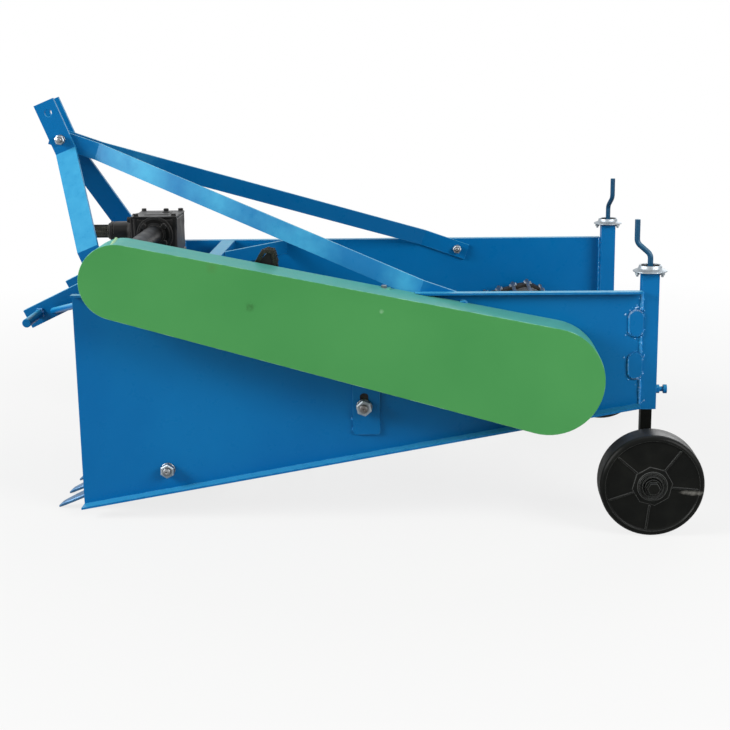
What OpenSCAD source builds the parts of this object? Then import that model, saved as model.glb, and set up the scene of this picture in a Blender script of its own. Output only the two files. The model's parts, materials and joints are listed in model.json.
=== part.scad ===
// Potato harvester for a small tractor: three-point hitch, digging share, rod-web conveyor
// and two height-set rear wheels. Front is -X, up is +Z, left is -Y. It stands on its share tips and wheels.

/* [Side plates] */
// Length of a side plate along its top edge
plate_len = 1350; // [1250:1:1450]
// Height of a side plate at its front edge
plate_front_h = 529; // [515:1:535]
// Height of a side plate at its rear edge
plate_rear_h = 277; // [265:1:288]
// Height of the plates' top edge above the wheels' tread line
plate_top_z = 564; // [556:1:572]
// Sheet thickness of the side plates
plate_t = 5; // [4:0.5:6]
// Width over the outer faces of the side plates
frame_w = 880; // [840:1:940]
// Width of the flange turned out along the top edge
top_flange_w = 18; // [10:1:24]
// Width of the flange turned out along the bottom edge
bottom_flange_w = 35; // [20:1:40]

/* [Front beam and rails] */
// Outside size of the square front beam
beam_size = 80; // [70:1:90]
// Wall of the front beam
beam_wall = 6; // [4:0.5:8]
// Distance of the beam's front face behind the plates' front edge
beam_setback = 46; // [42:1:60]
// Size of the square cross bar
cross_size = 40; // [30:1:50]
// Wall of the cross bar
cross_wall = 4; // [3:0.5:5]
// Distance of the cross bar's front face behind the plates' front edge
cross_setback = 235; // [225:1:250]
// Distance of the rails from the centre plane
rail_y = 172; // [140:1:190]
// Thickness of the rails and the diagonal stays
rail_t = 8; // [5:0.5:12]
// Distance along a side plate that a diagonal stay reaches behind the cross bar
diagonal_reach = 146; // [130:1:150]
// Distance of a diagonal stay's front end from the centre plane
diagonal_y = 219; // [200:1:250]

/* [Hitch] */
// Height of the lower hitch pins above the wheels' tread line
pin_z = 476; // [468:1:480]
// Distance of the lower hitch pins ahead of the plates' front edge
pin_reach = 140; // [120:1:160]
// Diameter of the lower hitch pins
pin_d = 22; // [18:0.5:28]
// Free length of the lower hitch pins
pin_len = 123; // [90:1:140]
// Width of the lower arms' flat bar
arm_w = 50; // [40:1:56]
// Thickness of the lower arms
arm_t = 20; // [15:1:25]
// Distance of the lower arms' outer faces from the centre plane
arm_y = 228; // [205:1:245]
// Slope of the lower arms
arm_slope = 25.5; // [23:0.5:26]
// Length of a lower arm ahead of its pin
arm_nose = 35; // [30:1:45]
// Diameter of the round stays from the arms to the plates
stay_d = 16; // [12:1:20]
// Height of the top-link hole above the lower pins
mast_h = 493; // [475:1:505]
// Distance of the top-link hole ahead of the lower pins, below zero when it is behind them
mast_lead = -3; // [-12:1:10]
// Forward lean of the mast
mast_lean = 22; // [20:0.5:24]
// Width of the mast bars
mast_w = 56; // [50:1:64]
// Thickness of the mast bars
mast_t = 10; // [8:0.5:12]
// Gap between the mast bars for the top link
mast_gap = 46; // [44:1:52]
// Diameter of the top-link hole
link_hole_d = 20; // [16:0.5:26]
// Length of a mast bar above the top-link hole
mast_nose = 30; // [24:1:40]
// Distance along the mast from the top-link hole to the brace bolt
mast_bolt_drop = 75; // [68:1:84]
// Distance along the mast from the top-link hole to the first bend
mast_bend_drop = 110; // [104:1:120]
// Distance along the mast from the top-link hole to the second bend
mast_foot_drop = 356; // [345:1:370]
// Length of a mast bar from the top-link hole to its foot
mast_len = 478; // [465:1:485]
// Diameter of the brace bolts
bolt_d = 16; // [12:1:20]

/* [Braces] */
// Width of the brace bars
brace_w = 45; // [40:1:54]
// Thickness of the brace bars
brace_t = 8; // [6:0.5:10]
// Distance of the rear brace bolts behind the plates' front edge
brace_bolt_x = 932; // [880:1:980]
// Distance of the rear brace bolts below the plates' top edge
brace_bolt_drop = 30; // [28:1:40]
// Straight length of a brace at the mast
brace_front_flat = 100; // [80:1:130]
// Straight length of a brace at the side plate
brace_rear_flat = 105; // [80:1:130]
// Length of a brace past its bolts
brace_tail = 30; // [22:1:36]

/* [Gearbox] */
// Distance of the gearbox's output axis behind the plates' front edge
gear_x = 134; // [125:1:140]
// Height of the gearbox's axes above the beam's base plate
gear_rise = 54; // [50:1:62]
// Length of the gearbox housing
gear_l = 115; // [100:1:120]
// Width of the gearbox housing
gear_w = 128; // [115:1:140]
// Height of the gearbox housing
gear_h = 94; // [88:1:105]
// Radius of the gearbox housing's upright edges
gear_r = 10; // [4:1:16]
// Thickness of the gearbox's top cover
cover_t = 6; // [4:0.5:10]
// Thickness of the gearbox's base plate
base_t = 8; // [6:0.5:12]
// Diameter of the input housing
input_d = 52; // [46:1:60]
// Length of the input housing ahead of the gearbox
input_len = 72; // [60:1:82]
// Thickness of the input housing's flange
input_flange_t = 12; // [8:1:16]
// Diameter of the power take-off shaft
pto_d = 35; // [30:0.5:36]
// Free length of the power take-off shaft
pto_len = 73; // [60:1:85]
// Diameter of the output bearing cap
cap_d = 84; // [70:1:88]
// Thickness of the output bearing cap
cap_t = 10; // [6:1:14]
// Diameter of the output shaft's tube
tube_d = 50; // [40:1:60]

/* [Chain guard] */
// Distance of the guard's front arc behind the plates' front edge
guard_front_x = 132; // [125:1:140]
// Height of the guard's front arc
guard_front_z = 610; // [604:1:620]
// Radius of the guard's front arc
guard_front_r = 89; // [80:1:95]
// Distance of the guard's rear arc and the drive shaft ahead of the plates' rear edge
drive_setback = 220; // [210:1:250]
// Height of the drive shaft above the wheels' tread line
drive_z = 371; // [364:1:378]
// Radius of the guard's rear arc
guard_rear_r = 127; // [110:1:132]
// Depth of the guard
guard_depth = 110; // [90:1:125]
// Sheet thickness of the guard
guard_t = 3; // [2:0.5:5]
// Distance of the chain tensioner's block behind the plates' front edge
tensioner_x = 437; // [430:1:470]
// Length of the tensioner block
tensioner_l = 54; // [44:1:60]
// Width of the tensioner block
tensioner_w = 38; // [25:1:45]
// Height of the tensioner block above the plates' top edge
tensioner_rise = 102; // [80:1:110]
// Slant of the tensioner block's front edge, along the machine
tensioner_slant = 22; // [14:1:30]
// Depth of the tensioner block below the plates' top edge
tensioner_drop = 40; // [30:1:60]

/* [Digging share] */
// Distance of the share tips ahead of the plates' front edge
tip_reach = 78; // [65:1:85]
// Height of the share tips above the wheels' tread line
tip_z = 12; // [4:1:24]
// Slope of the share
share_slope = 25; // [23:0.5:26]
// Thickness of the share
share_t = 8; // [6:0.5:12]
// Length of the share along its slope
share_len = 238; // [220:1:244]
// Length of the share's points
point_len = 130; // [100:1:145]
// Width of a share point at its root
point_w = 70; // [55:1:80]
// Width of a share point at its tip
point_tip_w = 11; // [6:1:16]
// Number of share points
point_count = 8; // [6:1:9]
// Size of the square tube under the share
share_beam_size = 40; // [30:1:44]

/* [Conveyor] */
// Distance of the front roller behind the plates' front edge
roller_x = 212; // [208:1:225]
// Height of the front roller above the wheels' tread line
roller_z = 127; // [122:1:134]
// Diameter of the front roller
roller_d = 90; // [80:1:96]
// Diameter of the drive wheels
drive_wheel_d = 124; // [110:1:140]
// Thickness of the web's side belts
belt_t = 8; // [6:0.5:10]
// Width of the web's side belts
belt_w = 36; // [28:1:44]
// Distance of the side belts' outer edges from the side plates
belt_gap = 50; // [42:1:70]
// Diameter of the web's rods
rod_d = 11; // [8:0.5:12]
// Spacing of the web's rods
rod_pitch = 42; // [36:1:60]
// Distance of the rods' ends from the side plates
rod_gap = 26; // [20:1:36]
// Diameter of the rollers' axles
axle_d = 25; // [20:1:30]
// Diameter of the drive shaft
drive_d = 35; // [28:1:40]
// Place of the support roller between the front roller and the drive shaft, as a part of their distance
support_part = 0.526; // [0.48:0.002:0.57]
// Diameter of the support roller
support_d = 48; // [40:1:52]
// Length of the adjuster plates
adjuster_l = 77; // [70:1:90]
// Height of the adjuster plates
adjuster_h = 112; // [100:1:120]
// Thickness of the adjuster plates
adjuster_t = 6; // [4:0.5:8]
// Diameter of the drive shaft's bearing flanges
bearing_d = 104; // [90:1:120]
// Thickness of the drive shaft's bearing flanges
bearing_t = 14; // [10:1:20]
// Running clearance of rollers, shafts and wheels
clearance = 0.3; // [0.2:0.1:0.5]

/* [Rear posts] */
// Size of the square posts
post_size = 40; // [38:1:50]
// Wall of the posts
post_wall = 4.5; // [4:0.5:5]
// Height of the posts above the plates' top edge
post_rise = 42; // [32:1:50]
// Length of the posts below the plates' rear corner
post_drop = 10; // [5:1:14]
// Diameter of the pressed bearing flange on a post
flange_d = 81; // [72:1:95]
// Thickness of the pressed bearing flange
flange_t = 5; // [4:0.5:7]
// Diameter of the flange's raised boss
boss_d = 50; // [44:1:56]
// Height of the flange's raised boss
boss_h = 10; // [7:1:14]
// Diameter of the crank rods
crank_d = 13; // [10:0.5:16]
// Height of a crank above its flange
crank_h = 107; // [95:1:130]
// Extra height of the right crank, which is screwed further out
crank_lift = 12; // [0:1:20]
// Side step of a crank
crank_step = 32; // [25:1:45]
// Radius of a crank's bends
crank_bend_r = 20; // [14:1:22]
// Lean of a crank between its bends
crank_lean = 50; // [40:1:55]
// Distance of the upper joint plates' middle below the plates' top edge
joint_drop = 78; // [70:1:90]
// Distance from an upper joint plate to the lower one
joint_spacing = 102; // [90:1:115]
// Distance of the joint plates' middle ahead of the plates' rear edge
joint_lead = 12; // [4:1:16]
// Height of the joint plates between side plate and post
joint_h = 62; // [50:1:70]
// Width of the joint plates
joint_w = 33; // [30:1:40]
// Thickness of the joint plates
joint_t = 4; // [3:0.5:6]
// Diameter of the lock bolts
lock_d = 12; // [10:1:14]
// Length of a lock bolt outside its post
lock_len = 27; // [24:1:40]

/* [Wheels] */
// Radius of the rear wheels
wheel_r = 122; // [115:1:126]
// Width of the rear wheels
wheel_w = 77; // [66:1:82]
// Thickness of a wheel's rim
rim_t = 9; // [6:1:14]
// Thickness of a wheel's disc
disc_t = 7; // [5:1:10]
// Diameter of a wheel's hub
hub_d = 56; // [48:1:66]
// Length of a wheel's hub
hub_len = 87; // [82:1:96]
// Depth of a wheel's disc inside the rim's edge
disc_inset = 4; // [3:0.5:8]
// Radius of the eight-sided ridge round a wheel's hub
ridge_r = 47; // [40:1:52]
// Size of the square legs
leg_size = 27; // [25:0.5:28]
// Length of a leg above the wheel's axle
leg_len = 350; // [330:1:360]
// Diameter of the stub axles
stub_d = 20; // [16:1:24]

/* [Hidden] */
$fn = 64;
left = -1;
right = 1;

// Colours of the paint and the bare metals
blue = [0.08, 0.39, 0.65];
light_blue = [0.16, 0.52, 0.78];
green = [0.29, 0.59, 0.31];
black = [0.05, 0.05, 0.05];
steel = [0.55, 0.56, 0.57];
zinc = [0.78, 0.78, 0.76];

// Widths across the machine, from the centre plane
plate_outer = frame_w / 2;
plate_inner = plate_outer - plate_t;
belt_outer = plate_inner - belt_gap;
rod_end = plate_inner - rod_gap;
mast_inner = mast_gap / 2;
mast_outer = mast_inner + mast_t;
post_y = plate_outer - post_size / 2;

// Places of the beam, the gearbox and the guard in the side view
beam_rear = beam_setback + beam_size;
cross_rear = cross_setback + cross_size;
cross_z = plate_top_z - cross_size;
arm_dx = beam_setback + pin_reach;
beam_top = pin_z + arm_dx * tan(arm_slope) + arm_w / 2 / cos(arm_slope);
beam_bottom = beam_top - beam_size;
gear_z = beam_top + base_t + gear_rise;
gear_bottom = beam_top + base_t;
gear_front = gear_x - gear_l / 2;
gear_top = gear_bottom + gear_h;
input_front = gear_front - input_len;
seal_step = 4;
guard_front = [guard_front_x, guard_front_z];
drive_x = plate_len - drive_setback;
drive = [drive_x, drive_z];

// Places of the mast and braces in the side view
hole_x = -pin_reach - mast_lead;
hole_z = pin_z + mast_h;
mast_bolt_x = hole_x + mast_bolt_drop * sin(mast_lean);
mast_bolt_z = hole_z - mast_bolt_drop * cos(mast_lean);
brace_bolt_z = plate_top_z - brace_bolt_drop;
brace_slope = atan2(mast_bolt_z - brace_bolt_z, brace_bolt_x - mast_bolt_x);
brace_span = norm([brace_bolt_x - mast_bolt_x, mast_bolt_z - brace_bolt_z]);
bolt_head_t = bolt_d * 0.6;

// The web runs over the front roller and the drive wheels
roller = [roller_x, roller_z];
web_front_r = roller_d / 2 + clearance;
web_rear_r = drive_wheel_d / 2 + clearance;
web_angle = atan2(drive_z - roller_z, drive_x - roller_x);
web_span = norm(drive - roller);
web_wrap = acos((web_front_r - web_rear_r) / web_span);
web_normal = web_angle + web_wrap;
run_len = sqrt(web_span ^ 2 - (web_rear_r - web_front_r) ^ 2);
rod_front_r = web_front_r + belt_t;
rod_rear_r = web_rear_r + belt_t;
rear_arc = rod_rear_r * web_wrap * PI / 90;
front_arc = rod_front_r * (180 - web_wrap) * PI / 90;
loop_len = 2 * run_len + rear_arc + front_arc;
rod_count = floor(loop_len / rod_pitch);
run_start = roller + web_front_r * [cos(web_normal), sin(web_normal)];
run_slope = web_normal - 90;
support_x = roller_x + support_part * (drive_x - roller_x);
support_drop = support_d / 2 + clearance;
support_z = run_start[1] + (support_x - run_start[0]) * tan(run_slope) - support_drop / cos(run_slope);

// Height of a side plate's bottom edge at a distance behind its front edge
bottom_rise = (plate_front_h - plate_rear_h) / plate_len;
plate_bottom_slope = atan(bottom_rise);
function plate_bottom(x) = plate_top_z - plate_front_h + x * bottom_rise;

// Posts, legs and wheels
post_x = plate_len + post_size / 2;
post_top = plate_top_z + post_rise;
post_bottom = plate_bottom(plate_len) - post_drop;
// A leg rests against its post's front wall, where the lock bolt presses it
leg_play = post_size / 2 - post_wall - leg_size / 2 - clearance;
leg_x = post_x - leg_play;
leg_outer = post_y + leg_size / 2;
stub_collar = 42.5;
hub_start = leg_outer + stub_collar + clearance;
hub_end = hub_start + hub_len;
rim_start = hub_start + (hub_len - wheel_w) / 2 + 1.5;
washer_t = 4;
stub_nut_t = 13.4;
joint_z = [plate_top_z - joint_drop, plate_top_z - joint_drop - joint_spacing];
lock_z = post_bottom + 45;
crank_base = 16;

// The machine leans about the wheels' axle until the share tips touch the ground
axle = [post_x, wheel_r];
tip = [-tip_reach, tip_z];
tip_dist = norm(axle - tip);
park_tilt = atan2(axle[1] - tip[1], axle[0] - tip[0]) - asin(wheel_r / tip_dist);
mast_top = [hole_x - mast_nose * sin(mast_lean) - mast_w / 2 * cos(mast_lean),
    hole_z + mast_nose * cos(mast_lean) - mast_w / 2 * sin(mast_lean)];
arm_tip = [-pin_reach - arm_nose * cos(arm_slope) - arm_w / 2 * sin(arm_slope),
    pin_z - arm_nose * sin(arm_slope) + arm_w / 2 * cos(arm_slope)];
function reach_of(p) = (axle[0] - p[0]) * cos(park_tilt) - (p[1] - axle[1]) * sin(park_tilt);
front_reach = max(reach_of(mast_top), reach_of(arm_tip));
axle_x = (front_reach - wheel_r) / 2;

module parked() {
    translate([axle_x, 0, wheel_r])
        rotate([0, park_tilt, 0])
            translate([-axle[0], 0, -axle[1]])
                children();
}

// Shapes are drawn for the left side and mirrored for the right one
module on_side(s) {
    if (s == right)
        mirror([0, 1, 0]) children();
    else
        children();
}

// Extrude a side-view outline from the distance y outwards to the left
module across(y, t) {
    translate([0, -y, 0]) rotate([90, 0, 0]) linear_extrude(t) children();
}

// A round bar or hole along Y from y0 to y1, counted outwards to the left
module rod_y(x, z, y0, y1, d, sides = $fn) {
    translate([x, -y0, z]) rotate([90, 0, 0]) cylinder(d = d, h = y1 - y0, $fn = sides);
}

// A box by its corner distances: x and z ranges, and y range counted outwards to the left
module block(x, y, z) {
    translate([x[0], -y[1], z[0]]) cube([x[1] - x[0], y[1] - y[0], z[1] - z[0]]);
}

// Outline of a belt stretched over two circles, with its arcs in short flats
function arc_point(c, r, a) = c + r * [cos(a), sin(a)];
function belt_loop(c1, r1, c2, r2, steps) =
    let (a = atan2(c2[1] - c1[1], c2[0] - c1[0]), b = acos((r1 - r2) / norm(c2 - c1)))
    concat([for (i = [0 : steps]) arc_point(c2, r2, a + b - 2 * b * i / steps)],
        [for (i = [0 : steps]) arc_point(c1, r1, a - b - (360 - 2 * b) * i / steps)]);

// A flat bar bent along a path of [length, side] points, thickened to the side of growing values
function heading(path, i) = atan2(path[i + 1][1] - path[i][1], path[i + 1][0] - path[i][0]);
function offset_point(path, t, i) =
    let (last = len(path) - 1,
        before = heading(path, max(i - 1, 0)),
        after = heading(path, min(i, last - 1)),
        middle = (before + after) / 2)
    path[i] + t / cos((after - before) / 2) * [-sin(middle), cos(middle)];
module bent_bar(path, t, w) {
    back = [for (i = [len(path) - 1 : -1 : 0]) offset_point(path, t, i)];
    mirror([0, 1, 0])
        translate([0, 0, -w / 2])
            linear_extrude(w) polygon(concat(path, back));
}

module plate_shape() {
    polygon([[0, plate_top_z], [plate_len, plate_top_z], [plate_len, plate_bottom(plate_len)],
        [0, plate_bottom(0)]]);
}

guard_steps = 30;
module guard_shape(inset) {
    polygon(belt_loop(guard_front, guard_front_r - inset, drive, guard_rear_r - inset, guard_steps));
}

module side_plate(s) {
    reach = plate_outer + max(top_flange_w, bottom_flange_w) + 1;
    flange_len = plate_len / cos(plate_bottom_slope);
    difference() {
        union() {
            across(plate_inner, plate_t) plate_shape();
            block([0, plate_len], [plate_inner, plate_outer + top_flange_w], [plate_top_z - plate_t, plate_top_z]);
            intersection() {
                translate([0, 0, plate_bottom(0)])
                    rotate([0, -plate_bottom_slope, 0])
                        block([0, flange_len], [plate_inner, plate_outer + bottom_flange_w], [0, plate_t]);
                across(plate_inner, plate_t + bottom_flange_w) plate_shape();
            }
        }
        if (s == left)
            across(plate_outer, reach - plate_outer) guard_shape(-1);
        rod_y(roller_x, roller_z, 0, reach, axle_d + 2 * clearance);
        rod_y(support_x, support_z, 0, reach, axle_d + 2 * clearance);
        rod_y(drive_x, drive_z, 0, reach, drive_d + 6);
        rod_y(brace_bolt_x, brace_bolt_z, 0, reach, bolt_d + 2 * clearance);
    }
}

module side_plate_left() {
    color(blue) parked() side_plate(left);
}

module side_plate_right() {
    color(blue) parked() on_side(right) side_plate(right);
}

module square_tube_y(x, z, size, wall) {
    difference() {
        block([x, x + size], [-plate_inner, plate_inner], [z, z + size]);
        block([x + wall, x + size - wall], [-plate_outer, plate_outer], [z + wall, z + size - wall]);
    }
}

module front_beam() {
    color(blue) parked() square_tube_y(beam_setback, beam_bottom, beam_size, beam_wall);
}

module cross_bar() {
    color(light_blue) parked() square_tube_y(cross_setback, cross_z, cross_size, cross_wall);
}

module rails() {
    color(blue) parked()
        for (s = [left, right]) on_side(s)
            block([beam_rear, cross_setback], [rail_y, rail_y + rail_t], [cross_z, plate_top_z]);
}

module diagonals() {
    dy = plate_inner - diagonal_y;
    turn = atan2(dy, diagonal_reach);
    along = norm([diagonal_reach, dy]);
    color(light_blue) parked()
        for (s = [left, right]) on_side(s)
            intersection() {
                translate([cross_rear, -diagonal_y, 0])
                    rotate([0, 0, -turn])
                        block([-rail_t, along + rail_t], [-rail_t, 0], [cross_z, plate_top_z]);
                block([cross_rear, plate_len], [0, plate_inner], [cross_z, plate_top_z]);
            }
}

module arm(s) {
    color(blue) parked() on_side(s) {
        intersection() {
            translate([-pin_reach, 0, pin_z])
                rotate([0, -arm_slope, 0])
                    block([-arm_nose, arm_dx * 2], [arm_y - arm_t, arm_y], [-arm_w / 2, arm_w / 2]);
            block([-plate_len, beam_setback], [0, plate_outer], [0, hole_z]);
        }
        rod_y(-pin_reach, pin_z, arm_y - arm_t / 2, arm_y + pin_len, pin_d);
    }
}

module arm_left() {
    arm(left);
}

module arm_right() {
    arm(right);
}

// Each stay runs from an arm's outer face to the inner face of the side plate
module stays() {
    start = [arm_w * 0.75 - pin_reach, arm_y, pin_z + arm_w * 0.75 * tan(arm_slope) - arm_w / 5];
    end = [stay_d, plate_inner, plate_top_z - 1.6 * stay_d];
    dir = end - start;
    color(light_blue) parked()
        for (s = [left, right]) on_side(s)
            intersection() {
                translate([start[0], -start[1], start[2]])
                    rotate([0, 0, atan2(-dir[1], dir[0])])
                        rotate([0, 90 - atan2(dir[2], norm([dir[0], dir[1]])), 0])
                            translate([0, 0, -2 * stay_d])
                                cylinder(d = stay_d, h = norm(dir) + 4 * stay_d);
                block([-plate_len, plate_len], [arm_y, plate_inner], [0, hole_z]);
            }
}

module mast(s) {
    path = [[-mast_nose, mast_inner], [mast_bend_drop, mast_inner], [mast_foot_drop, arm_y], [mast_len, arm_y]];
    color(light_blue) parked() on_side(s)
        intersection() {
            translate([hole_x, 0, hole_z])
                rotate([0, 90 - mast_lean, 0])
                    difference() {
                        bent_bar(path, mast_t, mast_w);
                        rod_y(0, 0, 0, mast_outer + 1, link_hole_d);
                        rod_y(mast_bolt_drop, 0, 0, mast_outer + 1, bolt_d + 2 * clearance);
                    }
            block([-plate_len, beam_setback], [0, plate_outer], [0, 2 * hole_z]);
        }
}

module mast_left() {
    mast(left);
}

module mast_right() {
    mast(right);
}

// The bolt through mast and braces, with the tube that keeps the braces apart
module mast_bolt() {
    spacer = mast_inner - brace_t;
    color(zinc) parked() {
        rod_y(mast_bolt_x, mast_bolt_z, -mast_outer - bolt_head_t, mast_outer + bolt_head_t, bolt_d);
        rod_y(mast_bolt_x, mast_bolt_z, -spacer, spacer, bolt_d * 1.6);
        for (y = [-mast_outer - bolt_head_t, mast_outer])
            rod_y(mast_bolt_x, mast_bolt_z, y, y + bolt_head_t, bolt_d * 1.75, 6);
    }
}

module brace(s) {
    near = mast_inner - brace_t;
    far = plate_inner - brace_t;
    path = [[-brace_tail, near], [brace_front_flat, near], [brace_span - brace_rear_flat, far],
        [brace_span + brace_tail, far]];
    color(light_blue) parked() on_side(s)
        translate([mast_bolt_x, 0, mast_bolt_z])
            rotate([0, brace_slope, 0])
                difference() {
                    bent_bar(path, brace_t, brace_w);
                    rod_y(0, 0, 0, mast_outer, bolt_d + 2 * clearance);
                    rod_y(brace_span, 0, far - 1, plate_outer, bolt_d + 2 * clearance);
                }
}

module brace_left() {
    brace(left);
}

module brace_right() {
    brace(right);
}

module gearbox_base() {
    color(black) parked()
        block([gear_front, gear_front + gear_l], [-gear_w / 2 - 10, gear_w / 2 + 10], [beam_top, gear_bottom]);
}

// Plan outline of the gearbox with round upright edges
module gear_plan() {
    inner = [gear_l - 2 * gear_r, gear_w - 2 * gear_r];
    square([gear_l, inner[1]], center = true);
    square([inner[0], gear_w], center = true);
    for (x = [-1, 1], y = [-1, 1])
        translate([x * inner[0] / 2, y * inner[1] / 2]) circle(gear_r);
}

module gearbox_housing() {
    color(black) parked()
        translate([gear_x, 0, gear_bottom]) linear_extrude(gear_h) gear_plan();
}

module gearbox_cover() {
    color(black) parked()
        translate([gear_x, 0, gear_top]) linear_extrude(cover_t) gear_plan();
}

module input_housing() {
    flange = min(gear_w, gear_h) - 8;
    color(black) parked()
        translate([gear_front, 0, gear_z])
            rotate([0, -90, 0])
                difference() {
                    union() {
                        translate([-flange / 2, -flange / 2, 0]) cube([flange, flange, input_flange_t]);
                        cylinder(d = input_d, h = input_len);
                    }
                    translate([0, 0, -1]) cylinder(d = pto_d + 2 * seal_step + 2 * clearance, h = input_len + 2);
                }
}

// The shaft is thicker where it leaves its seal, so the yoke stops ahead of the housing
module pto_shaft() {
    color(steel) parked()
        translate([gear_front, 0, gear_z])
            rotate([0, -90, 0]) {
                cylinder(d = pto_d + 2 * seal_step, h = input_len + seal_step);
                cylinder(d = pto_d, h = input_len + pto_len);
            }
}

module output_tube() {
    face = gear_w / 2;
    color(black) parked() {
        rod_y(gear_x, gear_z, face, face + cap_t, cap_d);
        rod_y(gear_x, gear_z, face, plate_outer, tube_d);
    }
}

module chain_guard() {
    color(green) parked()
        difference() {
            across(plate_outer, guard_depth) guard_shape(0);
            across(plate_outer + guard_t, guard_depth - 2 * guard_t) guard_shape(guard_t);
            rod_y(drive_x, drive_z, plate_outer - 1, plate_outer + guard_t + 1, drive_d + 6);
        }
}

// Plan outline of the share: a strip with pointed fingers along its front edge
module share_plan() {
    half = plate_inner;
    pitch = 2 * half / point_count;
    translate([point_len, -half]) square([share_len - point_len, 2 * half]);
    for (i = [0 : point_count - 1])
        translate([0, (i + 0.5) * pitch - half])
            polygon([[0, -point_tip_w / 2], [0, point_tip_w / 2], [point_len, point_w / 2],
                [point_len + 1, 0], [point_len, -point_w / 2]]);
}

module on_share() {
    translate([tip[0], 0, tip[1]]) rotate([0, -share_slope, 0]) children();
}

module digging_share() {
    color(steel) parked() on_share() linear_extrude(share_t) share_plan();
}

module share_beam() {
    color(blue) parked() on_share()
        translate([share_len - share_beam_size - 25, 0, -share_beam_size])
            square_tube_y(0, 0, share_beam_size, 4);
}

// Point on the rods' loop at a distance along it, starting at the front of the upper run
function loop_point(d) =
    let (down = web_angle - web_wrap,
        upper = roller + rod_front_r * [cos(web_normal), sin(web_normal)],
        lower = drive + rod_rear_r * [cos(down), sin(down)],
        along = [sin(web_normal), -cos(web_normal)],
        back = [sin(down), -cos(down)])
    d < run_len ? upper + d * along
    : d < run_len + rear_arc
        ? arc_point(drive, rod_rear_r, web_normal - (d - run_len) / rod_rear_r * 180 / PI)
    : d < 2 * run_len + rear_arc ? lower + (d - run_len - rear_arc) * back
    : arc_point(roller, rod_front_r, down - (d - 2 * run_len - rear_arc) / rod_front_r * 180 / PI);

// Every rod is let into a flat of the side belts
belt_steps = 20;
module conveyor_web() {
    color(steel) parked() {
        for (s = [left, right]) on_side(s)
            across(belt_outer - belt_w, belt_w)
                difference() {
                    polygon(belt_loop(roller, rod_front_r, drive, rod_rear_r, belt_steps));
                    polygon(belt_loop(roller, web_front_r, drive, web_rear_r, belt_steps));
                }
        for (i = [0 : rod_count - 1]) {
            p = loop_point(i * loop_len / rod_count);
            rod_y(p[0], p[1], -rod_end, rod_end, rod_d, 8);
        }
    }
}

module belt_wheels(x, z, d) {
    for (s = [left, right]) on_side(s)
        rod_y(x, z, belt_outer - belt_w - 4, belt_outer + 4, d);
}

module drive_shaft() {
    color(steel) parked() {
        rod_y(drive_x, drive_z, -plate_outer - 12, plate_outer + guard_depth / 2, drive_d);
        belt_wheels(drive_x, drive_z, drive_wheel_d);
    }
}

module drive_bearings() {
    color(black) parked()
        for (s = [left, right]) on_side(s)
            difference() {
                union() {
                    rod_y(drive_x, drive_z, plate_inner - bearing_t, plate_inner, bearing_d);
                    rod_y(drive_x, drive_z, plate_inner - 2 * bearing_t, plate_inner, drive_d * 1.8);
                }
                rod_y(drive_x, drive_z, 0, plate_outer, drive_d + 2 * clearance);
            }
}

// An axle through both side plates with a nut on each end
module axle_with_nuts(x, z, seat) {
    nut_t = axle_d * 0.6;
    rod_y(x, z, -seat - nut_t, seat + nut_t, axle_d);
    for (y = [-seat - nut_t, seat])
        rod_y(x, z, y, y + nut_t, axle_d * 1.6, 6);
}

module front_roller() {
    color(steel) parked() {
        axle_with_nuts(roller_x, roller_z, plate_outer);
        belt_wheels(roller_x, roller_z, roller_d);
    }
}

module support_roller() {
    color(steel) parked() {
        axle_with_nuts(support_x, support_z, plate_outer + adjuster_t);
        belt_wheels(support_x, support_z, support_d);
    }
}

module adjusters() {
    color(blue) parked()
        for (s = [left, right]) on_side(s)
            difference() {
                block([support_x - adjuster_l / 2, support_x + adjuster_l / 2],
                    [plate_outer, plate_outer + adjuster_t],
                    [support_z - adjuster_h * 0.62, support_z + adjuster_h * 0.38]);
                rod_y(support_x, support_z, 0, plate_outer + adjuster_t + 1, axle_d + 2 * clearance);
            }
}

module tensioner_block() {
    rear = tensioner_x + tensioner_l;
    top = plate_top_z + tensioner_rise;
    color(black) parked()
        across(plate_inner - tensioner_w, tensioner_w)
            polygon([[tensioner_x, plate_top_z - tensioner_drop], [rear, plate_top_z - tensioner_drop], [rear, top],
                [tensioner_x + tensioner_slant, top], [tensioner_x, top - 1.6 * tensioner_slant]]);
}

module post(s) {
    outer = post_size / 2;
    hollow = outer - post_wall;
    color(blue) parked() on_side(s)
        difference() {
            block([post_x - outer, post_x + outer], [post_y - outer, post_y + outer], [post_bottom, post_top]);
            block([post_x - hollow, post_x + hollow], [post_y - hollow, post_y + hollow],
                [post_bottom - 1, post_top + 1]);
            translate([post_x, -post_y, lock_z])
                rotate([0, 90, 0]) cylinder(d = lock_d + 2 * clearance, h = post_size);
        }
}

module post_left() {
    post(left);
}

module post_right() {
    post(right);
}

// Pressed bearing flange: a thin disc with a raised open ring round the crank
module flange(s) {
    color(zinc) parked() on_side(s)
        translate([post_x, -post_y, post_top])
            rotate_extrude()
                polygon([[crank_d / 2 + clearance, 0], [flange_d / 2 - 2, 0], [flange_d / 2, flange_t - 2],
                    [flange_d / 2 - 2, flange_t], [boss_d / 2 + 3, flange_t], [boss_d / 2 - 1, flange_t + boss_h],
                    [boss_d / 2 - 6, flange_t + boss_h], [boss_d / 2 - 6, flange_t], [crank_d / 2 + clearance, flange_t]]);
}

module flange_left() {
    flange(left);
}

module flange_right() {
    flange(right);
}

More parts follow.
